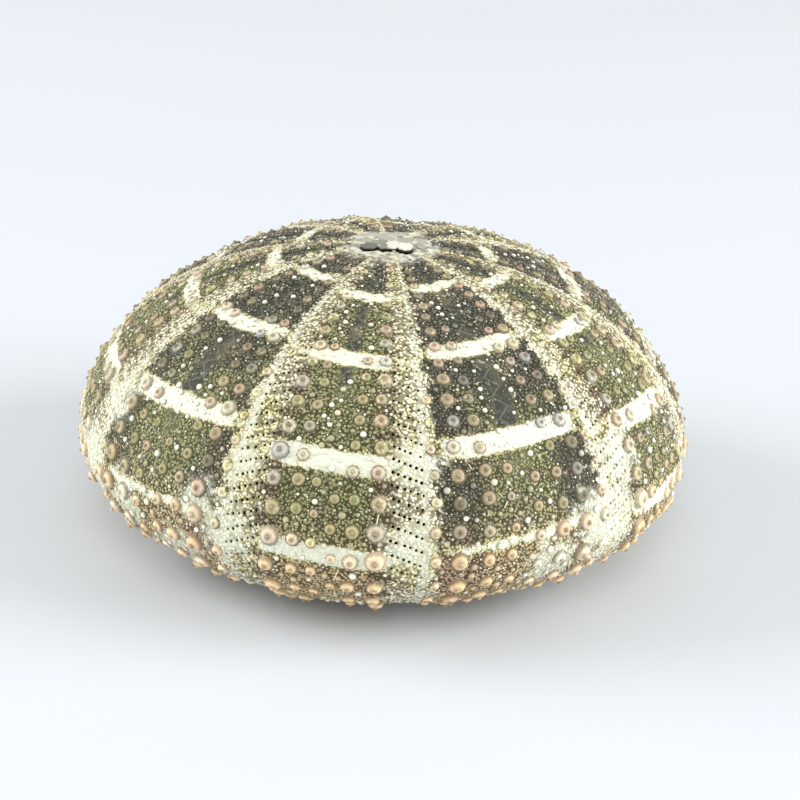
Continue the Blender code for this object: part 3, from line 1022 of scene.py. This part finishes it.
def build_apical_plates(meridian, material, rng):
    """The plates round the apex, as one piece that follows the outline."""
    parts = []
    for plate in APICAL_PLATES:
        near, lumps, paleness = plate[1], plate[4], plate[5]
        unit, faces = plate_mesh(apical_outline(plate, rng), lumps)
        azimuth = np.arctan2(unit[:, 0], -unit[:, 1])
        arc = np.hypot(unit[:, 0], unit[:, 1]) * MM
        level = np.interp(near, *PLATE_LEVELS) + PALE_LIFT * paleness
        # painted shade on each plate's side rings
        rim = np.append(np.repeat(PLATE_RIM_SHADE, (len(arc) - 1) // len(PLATE_RINGS)), 0.0)
        values = {"sieve": np.full(len(arc), paleness), "rim": rim}
        parts.append((meridian.place(azimuth, arc, (unit[:, 2] + level) * MM), faces, values))
    piece = make_piece("apical_plates", *joined(parts), material)
    own_piece(piece)
    return piece


# Broken spine needles that still cling to the shell: azimuth in degrees, distance from the apex in
# mm, length in mm and turn in degrees
NEEDLES = (
    (9.5, 57, 1.9, 100), (9.0, 58.5, 1.5, 80), (12.5, 70.5, 2.4, 95), (18.5, 69.5, 2.2, 5),
    (28, 55, 1.6, 40), (31, 54.5, 1.4, 60), (32.5, 56, 1.5, 130), (33.5, 58, 1.3, 50),
    (-38, 45, 2.0, 35), (26, 50, 1.2, 70), (36, 60, 1.6, 20), (3, 66, 1.7, 110),
    (-9, 71, 1.9, 75), (46, 68, 1.8, 100), (-30, 66, 1.6, 30), (100, 60, 2.0, 60),
    (150, 52, 1.7, 20), (205, 63, 2.2, 85), (250, 48, 1.6, 45), (290, 70, 1.9, 120),
)
NEEDLE_SIDES = 6
NEEDLE_RADIUS = 0.085 * MM
NEEDLE_PROFILE = ((1.0, 0.0), (0.8, 0.6), (0.0, 1.0))
NEEDLE_FLAT, NEEDLE_RISE = 0.93, 0.35  # how far a needle runs along the shell and away from it
NEEDLE_GAP = 0.15 * MM


def build_needles(meridian, material):
    """All needles in one piece: thin cones that lean away from the shell."""
    parts = []
    unit, faces = lathe(NEEDLE_PROFILE, NEEDLE_SIDES)
    for degrees, middle, length, turn in NEEDLES:
        azimuth, arc = np.array(degrees * DEG), np.array(middle * MM)
        east, down, out = meridian.axes(azimuth, arc)
        flat = math.cos(turn * DEG) * east + math.sin(turn * DEG) * down
        along = flat * NEEDLE_FLAT + NEEDLE_RISE * out
        across = np.cross(along, out)
        across /= np.linalg.norm(across)
        third = np.cross(along, across)
        ring = NEEDLE_RADIUS * unit[:, 1]
        body = (
            meridian.place(azimuth, arc, NEEDLE_GAP)
            + (ring * np.cos(unit[:, 0]))[:, None] * across
            + (ring * np.sin(unit[:, 0]))[:, None] * third
            + (length * MM * unit[:, 2])[:, None] * along
        )
        parts.append((body, faces, {"along": unit[:, 2]}))
    piece = make_piece("spine_needles", *joined(parts), material)
    own_piece(piece)
    return piece


# Small helpers for shader nodes


def add_node(tree, kind, inputs=None, **settings):
    """A shader node whose inputs are set, or linked where the value is another node's output."""
    node = tree.nodes.new(kind)
    for key, value in settings.items():
        setattr(node, key, value)
    for key, value in (inputs or {}).items():
        socket = node.inputs[key]
        if isinstance(value, bpy.types.NodeSocket):
            tree.links.new(value, socket)
        else:
            socket.default_value = value
    return node


def mixed(tree, factor, a, b, blend="MIX"):
    """A colour between a and b."""
    values = {0: factor, 6: a, 7: b}
    return add_node(tree, "ShaderNodeMix", values, data_type="RGBA", blend_type=blend).outputs[2]


def sloped(tree, value, low, high, start=0.0, end=1.0):
    """A smooth rise from start to end while the value goes from low to high."""
    inputs = {"Value": value, "From Min": low, "From Max": high, "To Min": start, "To Max": end}
    return add_node(tree, "ShaderNodeMapRange", inputs, interpolation_type="SMOOTHSTEP").outputs[0]


def calc(tree, operation, a, b=0.0):
    """A number worked out from one or two others."""
    return add_node(tree, "ShaderNodeMath", {0: a, 1: b}, operation=operation).outputs[0]


def apart(tree, a, b):
    """How far one number is from another."""
    return calc(tree, "ABSOLUTE", calc(tree, "SUBTRACT", a, b))


def speckle(tree, scale, detail=2.0, roughness=0.5):
    """Noise in the shell's own space."""
    where = add_node(tree, "ShaderNodeTexCoord").outputs["Object"]
    inputs = {"Vector": where, "Scale": scale, "Detail": detail, "Roughness": roughness}
    return add_node(tree, "ShaderNodeTexNoise", inputs).outputs["Fac"]


def attribute(tree, name):
    """A value that the mesh carries."""
    return add_node(tree, "ShaderNodeAttribute", attribute_name=name).outputs["Fac"]


def solid(colour):
    """An opaque colour for a socket."""
    return (*colour, 1.0)


def wandering(tree, mask, noises):
    """A mask whose edge is broken up by noises, each with its reach."""
    for value, reach in noises:
        inputs = {0: value, 1: reach, 2: -reach / 2}
        centred = add_node(tree, "ShaderNodeMath", inputs, operation="MULTIPLY_ADD").outputs[0]
        mask = calc(tree, "ADD", mask, centred)
    return mask


def shaded(tree, colour, light):
    """A colour made lighter or darker by a number."""
    grey = add_node(tree, "ShaderNodeCombineXYZ", {0: light, 1: light, 2: light}).outputs[0]
    return mixed(tree, 1.0, colour, grey, "MULTIPLY")


PATTERN_MASKS = ("Band", "Cream", "Grey", "Chalk", "Brown", "Low")

# Noise scales, per metre
BROAD, RAGGED, FINE = 110.0, 700.0, 2400.0
GRAIN_SCALE = 1900.0

# Relief that is only shaded
GRAIN_RELIEF, TUBERCLE_RELIEF, PLATE_RELIEF = 0.16 * MM, 0.05 * MM, 0.12 * MM


def pattern_group(colours):
    """The shell's pattern from its masks: ragged bands, pore zones and mottled ground."""
    tree = bpy.data.node_groups.new("shell_pattern", "ShaderNodeTree")
    for socket in PATTERN_MASKS:
        tree.interface.new_socket(socket, in_out="INPUT", socket_type="NodeSocketFloat")
    for socket in ("Ground", "Raised"):
        tree.interface.new_socket(socket, in_out="OUTPUT", socket_type="NodeSocketColor")
    for socket in ("Band mask", "Cream mask", "Chalk mask"):
        tree.interface.new_socket(socket, in_out="OUTPUT", socket_type="NodeSocketFloat")
    masks = add_node(tree, "NodeGroupInput").outputs
    broad = speckle(tree, BROAD)
    ragged = speckle(tree, RAGGED, 3.0)
    fine = speckle(tree, FINE)
    grey = sloped(tree, wandering(tree, masks["Grey"], ((broad, 1.4), (ragged, 0.6))), 0.2, 0.8)
    cream = sloped(tree, wandering(tree, masks["Cream"], ((ragged, 2.8), (fine, 1.3))), 0.3, 0.75)
    edge = wandering(tree, masks["Band"], ((ragged, 1.0), (fine, 0.5)))
    band = sloped(tree, edge, 0.36, 0.7)
    chalk = sloped(tree, wandering(tree, masks["Chalk"], ((ragged, 1.3), (broad, 0.7))), 0.25, 0.85)
    brown = sloped(tree, wandering(tree, masks["Brown"], ((ragged, 1.4),)), 0.15, 0.6, 0.0, 0.85)
    plain = mixed(tree, grey, solid(colours.olive), solid(colours.grey))
    plain = mixed(tree, sloped(tree, broad, 0.5, 0.7, 0.0, 0.3), plain, solid(colours.tan))
    plain = mixed(tree, calc(tree, "MULTIPLY", masks["Low"], 0.55), plain, solid(colours.sand))
    yellow = sloped(tree, broad, 0.48, 0.62, 0.0, 0.55)
    pale = mixed(tree, yellow, solid(colours.cream), solid(colours.yellow))
    pale = mixed(tree, sloped(tree, ragged, 0.52, 0.68, 0.0, 0.4), pale, solid(colours.tan))
    high = mixed(tree, yellow, solid(colours.grain), solid(colours.yellow))
    ends = {"Band mask": band, "Cream mask": cream, "Chalk mask": chalk}
    for socket, share in (("Ground", 0.0), ("Raised", 0.07)):
        colour = mixed(tree, share, plain, solid(colours.grain))
        colour = mixed(tree, cream, colour, high if socket == "Raised" else pale)
        lighter = 0.0 if socket == "Ground" else 0.45
        stain = mixed(tree, lighter, solid(colours.brown), solid(colours.tan))
        colour = mixed(tree, brown, colour, stain)
        colour = mixed(tree, sloped(tree, edge, 0.08, 0.55, 0.0, 0.7), colour, solid(colours.yellow))
        colour = mixed(tree, calc(tree, "MULTIPLY", chalk, 0.85), colour, solid(colours.white))
        ends[socket] = mixed(tree, band, colour, solid(colours.white))
    add_node(tree, "NodeGroupOutput", ends)
    return tree


def grain_group():
    """Rounded grains that fill a surface: their height, and a random number for each."""
    tree = bpy.data.node_groups.new("shell_grain", "ShaderNodeTree")
    tree.interface.new_socket("Scale", in_out="INPUT", socket_type="NodeSocketFloat")
    for socket in ("Height", "Random"):
        tree.interface.new_socket(socket, in_out="OUTPUT", socket_type="NodeSocketFloat")
    where = add_node(tree, "ShaderNodeTexCoord").outputs["Object"]
    scale = add_node(tree, "NodeGroupInput").outputs["Scale"]
    cells = add_node(tree, "ShaderNodeTexVoronoi", {"Vector": where, "Scale": scale}).outputs
    split = add_node(tree, "ShaderNodeSeparateColor", {0: cells["Color"]}).outputs
    height = sloped(tree, cells["Distance"], 0.18, 0.62, 1.0, 0.0)
    add_node(tree, "NodeGroupOutput", {"Height": height, "Random": split[0]})
    return tree


def new_material(name, rough=0.7):
    """A matte material, its node tree and its shader."""
    material = bpy.data.materials.new(name)
    material.use_nodes = True
    tree = material.node_tree
    shader = tree.nodes["Principled BSDF"]
    shader.inputs["Roughness"].default_value = rough
    shader.inputs["Specular IOR Level"].default_value = 0.35
    return material, tree, shader


def pattern(tree):
    """The outputs of the shell's pattern at this place of the mesh."""
    group = bpy.data.node_groups["shell_pattern"]
    masks = {key: attribute(tree, key.lower()) for key in PATTERN_MASKS}
    return add_node(tree, "ShaderNodeGroup", masks, node_tree=group).outputs


def grains(tree, scale):
    """The outputs of the rounded grains."""
    group = bpy.data.node_groups["shell_grain"]
    return add_node(tree, "ShaderNodeGroup", {"Scale": scale}, node_tree=group).outputs


def add_bump(tree, shader, height, distance):
    """Relief that is only shaded."""
    bump = add_node(tree, "ShaderNodeBump", {"Height": height, "Distance": distance, "Strength": 1.0})
    tree.links.new(bump.outputs[0], shader.inputs["Normal"])


# Marks that are colour alone, in mm; the genital pore is painted shade
GENITAL_PORE_AT = 6.9  # from the apex
GENITAL_PORE_EDGE = (0.2, 0.34)
PALE_RING_ENDS = (7.0, 8.8)
JOINT_SWING = 1.0  # how far the zigzag joint swings to each side
JOINT_EDGE = (0.05, 0.28)
PLATE_LINE_ENDS = (1.5, 3.0)


def joint_lines(tree):
    """Lines where plates meet: a zigzag down the middle of a zone and a step at each plate."""
    row = attribute(tree, "row")
    swing = calc(tree, "PINGPONG", calc(tree, "ADD", row, 0.25), 0.5)
    swing = calc(tree, "MULTIPLY", calc(tree, "SUBTRACT", swing, 0.25), 4 * JOINT_SWING)
    lines = []
    for name, share in (("across_inter", 1.0), ("across_amb", 0.6)):
        across = calc(tree, "SUBTRACT", attribute(tree, name), calc(tree, "MULTIPLY", swing, share))
        away = calc(tree, "ABSOLUTE", across)
        zigzag = sloped(tree, away, *JOINT_EDGE, 1.0, 0.0)
        side = calc(tree, "MULTIPLY", calc(tree, "SIGN", across), -0.25)
        step = calc(tree, "FRACT", calc(tree, "ADD", row, side))
        plate_line = sloped(tree, apart(tree, step, 0.5), 0.47, 0.49, 0.0, 0.3)
        near = sloped(tree, away, *PLATE_LINE_ENDS, 1.0, 0.0)
        lines.append(calc(tree, "MAXIMUM", zigzag, calc(tree, "MULTIPLY", plate_line, near)))
    return calc(tree, "MAXIMUM", lines[0], lines[1])


def grained(tree, colours, look, grain, rough):
    """The wall's ground between the knobs: low grains, some of them pale, with painted shade in the
    gaps.
    """
    share = sloped(tree, grain["Random"], 0.45, 0.95, 0.0, 0.8)
    top = mixed(tree, share, look["Ground"], look["Raised"])
    # painted shade in the gaps between grains, a little weaker in the pore zones
    dark = sloped(tree, look["Cream mask"], 0.0, 1.0, 0.87, 0.76)
    gap = mixed(tree, dark, look["Ground"], solid(colours.gap_shade))
    deep = sloped(tree, grain["Height"], 0.05, 0.55, 1.0, 0.0)
    return mixed(tree, calc(tree, "MULTIPLY", deep, rough), top, gap)


def jointed(tree, colours, look, colour):
    """Darker bare middles with the lines where plates meet."""
    bare = attribute(tree, "bare")
    dark = calc(tree, "MULTIPLY", bare, calc(tree, "SUBTRACT", 0.35, look["Band mask"]))
    colour = shaded(tree, colour, calc(tree, "SUBTRACT", 1.0, calc(tree, "MAXIMUM", dark, 0.0)))
    pale = calc(tree, "MAXIMUM", look["Cream mask"], look["Band mask"])
    line = calc(tree, "MULTIPLY", joint_lines(tree), calc(tree, "SUBTRACT", 1.0, pale))
    return mixed(tree, calc(tree, "MULTIPLY", line, 0.3), colour, solid(colours.plates))


def ringed(tree, colours, colour):
    """The paler ring round the apical plates, with a genital pore on each joint painted dark as the
    shade in a hole.
    """
    mottle = sloped(tree, speckle(tree, 900.0, 3.0), 0.3, 0.7)
    ring = mixed(tree, mottle, solid(colours.plates), solid(colours.grain))
    far = attribute(tree, "far")
    colour = mixed(tree, sloped(tree, far, *PALE_RING_ENDS, 0.65, 0.0), colour, ring)
    place = {0: attribute(tree, "across_inter"), 1: far}
    place = add_node(tree, "ShaderNodeCombineXYZ", place).outputs[0]
    ends = {0: place, 1: (0.0, GENITAL_PORE_AT, 0.0)}
    away = add_node(tree, "ShaderNodeVectorMath", ends, operation="DISTANCE").outputs["Value"]
    # the genital pore: painted shade of a hole, with no hole in the mesh
    return mixed(tree, sloped(tree, away, *GENITAL_PORE_EDGE, 1.0, 0.0), colour, solid(colours.hole_shade_and_specks))


def wall_material(colours):
    """The pored wall: grained ground, joints, apical ring, pores painted dark with shade and a plain
    pale inside.
    """
    material, tree, shader = new_material("wall", 0.75)
    look = pattern(tree)
    grain = grains(tree, GRAIN_SCALE)
    band, chalk = look["Band mask"], look["Chalk mask"]
    smooth = calc(tree, "MAXIMUM", attribute(tree, "bare"), calc(tree, "MULTIPLY", band, 0.85))
    smooth = calc(tree, "MAXIMUM", smooth, calc(tree, "MULTIPLY", chalk, 0.65))
    rough = calc(tree, "SUBTRACT", 1.0, smooth)
    colour = grained(tree, colours, look, grain, rough)
    colour = jointed(tree, colours, look, colour)
    colour = ringed(tree, colours, colour)
    # painted shade inside the pores and the crevices in front of the apical plates
    pore_and_crevice_shade = sloped(tree, attribute(tree, "depth"), 0.1, 0.7)
    colour = mixed(tree, pore_and_crevice_shade, colour, solid(colours.hole_shade_and_specks))
    inside = mixed(tree, speckle(tree, 1500.0), solid(colours.cream), solid(colours.white))
    colour = mixed(tree, attribute(tree, "outer"), inside, colour)
    tree.links.new(colour, shader.inputs["Base Color"])
    height = calc(tree, "MULTIPLY", grain["Height"], sloped(tree, rough, 0.0, 1.0, 0.12, 1.0))
    add_bump(tree, shader, height, GRAIN_RELIEF)
    return material


# The marks of a main tubercle, as shares of its radius: the brown boss, painted shade in the groove
# and at the foot, and a painted highlight on the ring
BOSS_ENDS = (0.22, 0.4)
GROOVE_SHADE_AT, RING_HIGHLIGHT_AT = 0.3, 0.68
FOOT_SHADE_ENDS = (0.8, 1.02)


def tubercle_material(colours):
    """Tan, pinkish or greyish knobs with a brown boss, painted shade in a groove round it and at the
    foot, and a ring lighter by painted highlight.
    """
    material, tree, shader = new_material("tubercle", 0.6)
    look = pattern(tree)
    hue, tone, reach = (attribute(tree, key) for key in ("hue", "tone", "reach"))
    colour = mixed(tree, sloped(tree, hue, 0.4, 0.6), solid(colours.tan), solid(colours.pink))
    colour = mixed(tree, sloped(tree, hue, 0.8, 0.9), colour, solid(colours.lilac))
    low = calc(tree, "MULTIPLY", attribute(tree, "low"), 0.8)
    colour = mixed(tree, low, colour, solid(colours.sand))
    own = sloped(tree, tone, 0.0, 1.0, 0.2, 0.8)
    own = calc(tree, "MULTIPLY", own, sloped(tree, look["Band mask"], 0.0, 1.0, 1.0, 0.5))
    colour = mixed(tree, own, colour, look["Ground"])
    boss = sloped(tree, reach, *BOSS_ENDS, 1.0, 0.0)
    boss = calc(tree, "MULTIPLY", boss, sloped(tree, hue, 0.2, 0.7, 0.1, 0.5))
    colour = mixed(tree, boss, colour, solid(colours.brown))
    pale = calc(tree, "MAXIMUM", look["Band mask"], look["Cream mask"])
    # painted shade at the foot, softer on the pale bands and zones
    foot = sloped(tree, reach, *FOOT_SHADE_ENDS, 1.0, sloped(tree, pale, 0.0, 1.0, 0.34, 0.66))
    # a painted highlight: a ring lighter on the knob's rounded shoulder
    ring = sloped(tree, apart(tree, reach, RING_HIGHLIGHT_AT), 0.0, 0.16, 1.25, 1.0)
    # painted shade in the groove round the boss
    groove_shade = sloped(tree, apart(tree, reach, GROOVE_SHADE_AT), 0.02, 0.1, 0.66, 1.0)
    grain = sloped(tree, speckle(tree, 3000.0), 0.3, 0.7, 0.84, 1.12)
    for light in (foot, groove_shade, ring, grain):
        colour = shaded(tree, colour, light)
    tree.links.new(colour, shader.inputs["Base Color"])
    add_bump(tree, shader, speckle(tree, 3500.0, 2.0), TUBERCLE_RELIEF)
    return material


def bead_material(colours, name, pale, rough):
    """Small knobs: some share stays pale, and the rest take the ground's colour, lightened; painted
    shade darkens each towards its foot.
    """
    material, tree, shader = new_material(name, rough)
    look = pattern(tree)
    hue, tone, reach = (attribute(tree, key) for key in ("hue", "tone", "reach"))
    tanned = sloped(tree, tone, 0.8, 0.95, 0.0, 0.5)
    colour = mixed(tree, tanned, solid(colours.grain), solid(colours.tan))
    colour = mixed(tree, sloped(tree, hue, pale, pale + 0.15, 0.0, 0.9), colour, look["Raised"])
    colour = mixed(tree, calc(tree, "MULTIPLY", look["Band mask"], 0.7), colour, solid(colours.white))
    # painted shade towards each knob's foot
    colour = shaded(tree, colour, sloped(tree, reach, 0.62, 1.0, 1.0, 0.4))
    tree.links.new(colour, shader.inputs["Base Color"])
    return material


def needle_material(colours):
    """Glossy needles, whiter towards the tip."""
    material, tree, shader = new_material("needle", 0.4)
    tip = sloped(tree, attribute(tree, "along"), 0.0, 0.5)
    colour = mixed(tree, tip, solid(colours.cream), solid(colours.white))
    tree.links.new(colour, shader.inputs["Base Color"])
    return material


def plate_material(colours):
    """Grey apical plates with fine dots and painted shade on their sides; the sieve plate is paler."""
    material, tree, shader = new_material("apical_plate", 0.7)
    sieve = attribute(tree, "sieve")
    colour = mixed(tree, sieve, solid(colours.plates), solid(colours.grain))
    colour = shaded(tree, colour, sloped(tree, sieve, -0.6, 0.1, 0.5, 1.0))
    dots = sloped(tree, speckle(tree, 2800.0, 1.0), 0.28, 0.4)
    colour = mixed(tree, dots, mixed(tree, 0.3, colour, solid(colours.hole_shade_and_specks)), colour)
    # painted shade on the plates' sides
    colour = mixed(tree, attribute(tree, "rim"), colour, solid(colours.hole_shade_and_specks))
    tree.links.new(colour, shader.inputs["Base Color"])
    add_bump(tree, shader, speckle(tree, 1600.0), PLATE_RELIEF)
    return material


def stage_material(colour):
    """The plain floor."""
    material, tree, shader = new_material("floor", 0.6)
    tone = sloped(tree, speckle(tree, 4.0), 0.2, 0.8, 0.985, 1.0)
    tree.links.new(shaded(tree, solid(colour), tone), shader.inputs["Base Color"])
    return material


# Operators, and what they share

SEED = 7
STATE = {}


def shared(context):
    """The outline, the places of all knobs, the random draws and the node groups, made once."""
    if not STATE:
        sizes = context.scene.urchin_sizes
        rng = np.random.default_rng(SEED)
        meridian = Meridian(sizes)
        sites = Sites(meridian)
        plant_tubercles(sites, sizes, rng)
        pores = plant_pores(sites, sizes, rng)
        plant_zone_beads(sites, sizes, rng)
        plant_beads(sites, sizes, rng)
        plant_granules(sites, sizes, rng)
        pattern_group(context.scene.urchin_colours)
        grain_group()
        STATE.update(meridian=meridian, sites=sites, pores=pores, rng=rng)
    return STATE["meridian"], STATE["sites"], STATE["rng"]


class URCHIN_OT_wall(bpy.types.Operator):
    """Grow the hollow wall with its pores and plate joints"""

    bl_idname = "urchin.wall"
    bl_label = "Wall"

    def execute(self, context):
        meridian, _, rng = shared(context)
        material = wall_material(context.scene.urchin_colours)
        build_wall(meridian, STATE["pores"], context.scene.urchin_sizes.wall, material, rng)
        return {"FINISHED"}


# How tall the main tubercles stand: distances from the apex in mm, and heights there
TUBERCLE_RISE = ((58, 68, 78, 90), (1.0, 1.25, 1.25, 1.0))


class URCHIN_OT_tubercles(bpy.types.Operator):
    """Grow the main tubercles of the ambulacra and of the bands between them"""

    bl_idname = "urchin.tubercles"
    bl_label = "Tubercles"

    def execute(self, context):
        meridian, sites, rng = shared(context)
        material = tubercle_material(context.scene.urchin_colours)
        for group, name in (("amb", "ambulacral_tubercles"), ("inter", "interambulacral_tubercles")):
            places = sites.arrays(group)
            taller = np.interp(places[1] / MM, *TUBERCLE_RISE)
            grow_knobs(meridian, name, places, TUBERCLE, rng, material, taller)
        return {"FINISHED"}


class URCHIN_OT_beads(bpy.types.Operator):
    """Grow the pale secondary tubercles"""

    bl_idname = "urchin.beads"
    bl_label = "Beads"

    def execute(self, context):
        meridian, sites, rng = shared(context)
        material = bead_material(context.scene.urchin_colours, "bead", 0.4, 0.35)
        for group, knob in (("beads", BEAD), ("zone_beads", ZONE_BEAD)):
            grow_knobs(meridian, group, sites.arrays(group), knob, rng, material)
        return {"FINISHED"}


# Pieces that the finest grain is shared out over: from and to what distance from the apex, in mm
GRANULE_LEVELS = (
    ("granules_upper", 0.0, 46.0),
    ("granules_middle", 46.0, 68.0),
    ("granules_lower", 68.0, 200.0),
)


class URCHIN_OT_granules(bpy.types.Operator):
    """Grow the finest grain between the tubercles"""

    bl_idname = "urchin.granules"
    bl_label = "Granules"

    def execute(self, context):
        meridian, sites, rng = shared(context)
        material = bead_material(context.scene.urchin_colours, "granule", 0.03, 0.65)
        places = sites.arrays("granules")
        for name, start, end in GRANULE_LEVELS:
            part = (places[1] >= start * MM) & (places[1] < end * MM)
            grow_knobs(meridian, name, places[:, part], GRANULE, rng, material)
        return {"FINISHED"}


class URCHIN_OT_apical_plates(bpy.types.Operator):
    """Grow the plates round the apex"""

    bl_idname = "urchin.apical_plates"
    bl_label = "Apical plates"

    def execute(self, context):
        meridian, _, rng = shared(context)
        build_apical_plates(meridian, plate_material(context.scene.urchin_colours), rng)
        return {"FINISHED"}


class URCHIN_OT_needles(bpy.types.Operator):
    """Lay the broken spine needles that cling to the shell"""

    bl_idname = "urchin.needles"
    bl_label = "Needles"

    def execute(self, context):
        meridian, _, _ = shared(context)
        build_needles(meridian, needle_material(context.scene.urchin_colours))
        return {"FINISHED"}


FLOOR_RADIUS = 3.0
SENSOR = 36.0
PHOTO_WIDTH = 800
FOCAL_PIXELS = 1990.0
MIDDLE_PIXEL = (383.5, 426.0)
FLOOR_GAP = 0.02 * MM

# Lights: name, place in metres, width in metres and power in watts
LIGHTS = (
    ("left", (-1.35, -0.15, 0.6), 1.1, 19.0),
    ("right", (1.35, 0.05, 0.55), 1.1, 23.0),
    ("front", (0.2, -1.2, 1.3), 1.0, 8.0),
)
ROOM_COLOUR = (1.0, 0.99, 0.97, 1.0)
ROOM_STRENGTH = 0.58


def place_camera(settings, middle):
    """The camera looks at the shell's middle, which lies beside the middle of the photograph."""
    forward = Vector((0, math.cos(settings.elevation), -math.sin(settings.elevation)))
    right = Vector((1, 0, 0))
    up = right.cross(forward)
    leaning_right = math.cos(settings.roll) * right + math.sin(settings.roll) * up
    leaning_up = math.cos(settings.roll) * up - math.sin(settings.roll) * right
    turn = Matrix.Rotation(settings.azimuth, 3, "Z")
    axes = [turn @ v for v in (leaning_right, leaning_up, -forward)]
    rotation = Matrix(axes).transposed().to_4x4()
    camera = bpy.data.objects.new("camera", bpy.data.cameras.new("camera"))
    camera.matrix_world = Matrix.Translation(middle + axes[2] * settings.distance) @ rotation
    camera.data.sensor_width = SENSOR
    camera.data.lens = SENSOR * FOCAL_PIXELS / PHOTO_WIDTH
    camera.data.shift_x = (PHOTO_WIDTH / 2 - MIDDLE_PIXEL[0]) / PHOTO_WIDTH
    camera.data.shift_y = (MIDDLE_PIXEL[1] - PHOTO_WIDTH / 2) / PHOTO_WIDTH
    camera.data.clip_start = 0.01
    bpy.context.scene.collection.objects.link(camera)
    bpy.context.scene.camera = camera


def area_light(name, place, size, power, target):
    """A soft round light that faces a point."""
    lamp = bpy.data.lights.new(name, "AREA")
    lamp.shape = "DISK"
    lamp.size = size
    lamp.energy = power
    light = bpy.data.objects.new(name, lamp)
    light.location = place
    light.rotation_euler = (Vector(target) - Vector(place)).to_track_quat("-Z", "Y").to_euler()
    bpy.context.scene.collection.objects.link(light)


def floor_mesh(colour):
    """A wide round floor."""
    bm = bmesh.new()
    bmesh.ops.create_circle(bm, cap_ends=True, segments=64, radius=FLOOR_RADIUS)
    mesh = bpy.data.meshes.new("floor")
    bm.to_mesh(mesh)
    bm.free()
    mesh.materials.append(stage_material(colour))
    return mesh


class URCHIN_OT_stage(bpy.types.Operator):
    """Set up the plain floor, the soft light and the camera"""

    bl_idname = "urchin.stage"
    bl_label = "Stage"

    def execute(self, context):
        settings = context.scene.urchin_stage
        floor = bpy.data.objects.new("floor", floor_mesh(settings.floor))
        floor.location.z = -FLOOR_GAP
        context.scene.collection.objects.link(floor)
        floor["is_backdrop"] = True
        middle = Vector((0, 0, shared(context)[0].widest_z))
        place_camera(settings, middle)
        for name, place, size, power in LIGHTS:
            area_light(name, place, size, power, middle)
        world = bpy.data.worlds.new("room")
        world.use_nodes = True
        sky = world.node_tree.nodes["Background"]
        sky.inputs["Color"].default_value = ROOM_COLOUR
        sky.inputs["Strength"].default_value = ROOM_STRENGTH
        context.scene.world = world
        context.scene.view_settings.view_transform = "Standard"
        return {"FINISHED"}


OPERATORS = (
    URCHIN_OT_stage,
    URCHIN_OT_wall,
    URCHIN_OT_tubercles,
    URCHIN_OT_beads,
    URCHIN_OT_granules,
    URCHIN_OT_apical_plates,
    URCHIN_OT_needles,
)


class URCHIN_PT_panel(bpy.types.Panel):
    """Steps that grow the shell"""

    bl_label = "Urchin shell"
    bl_idname = "URCHIN_PT_panel"
    bl_space_type = "VIEW_3D"
    bl_region_type = "UI"
    bl_category = "Urchin shell"

    def draw(self, context):
        for operator in OPERATORS:
            self.layout.operator(operator.bl_idname)


GROUPS = (
    ("urchin_sizes", ShellSizes),
    ("urchin_colours", ShellColours),
    ("urchin_stage", StageSettings),
)


def register():
    """Adds the settings to the scene, the operators and the panel."""
    for name, group in GROUPS:
        bpy.utils.register_class(group)
        setattr(bpy.types.Scene, name, bpy.props.PointerProperty(type=group))
    for operator in OPERATORS:
        bpy.utils.register_class(operator)
    bpy.utils.register_class(URCHIN_PT_panel)


def unregister():
    """Takes them away again."""
    bpy.utils.unregister_class(URCHIN_PT_panel)
    for operator in reversed(OPERATORS):
        bpy.utils.unregister_class(operator)
    for name, group in reversed(GROUPS):
        delattr(bpy.types.Scene, name)
        bpy.utils.unregister_class(group)


def main():
    """Makes every piece and works out how large the shell came out."""
    register()
    bpy.ops.urchin.stage()
    bpy.ops.urchin.wall()
    bpy.ops.urchin.tubercles()
    bpy.ops.urchin.beads()
    bpy.ops.urchin.granules()
    bpy.ops.urchin.apical_plates()
    bpy.ops.urchin.needles()
    boxes = {"cad": CAD_BOX, "visual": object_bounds()}
    plain = {name: [list(corner) for corner in box] for name, box in boxes.items()}


if __name__ == "__main__":
    main()
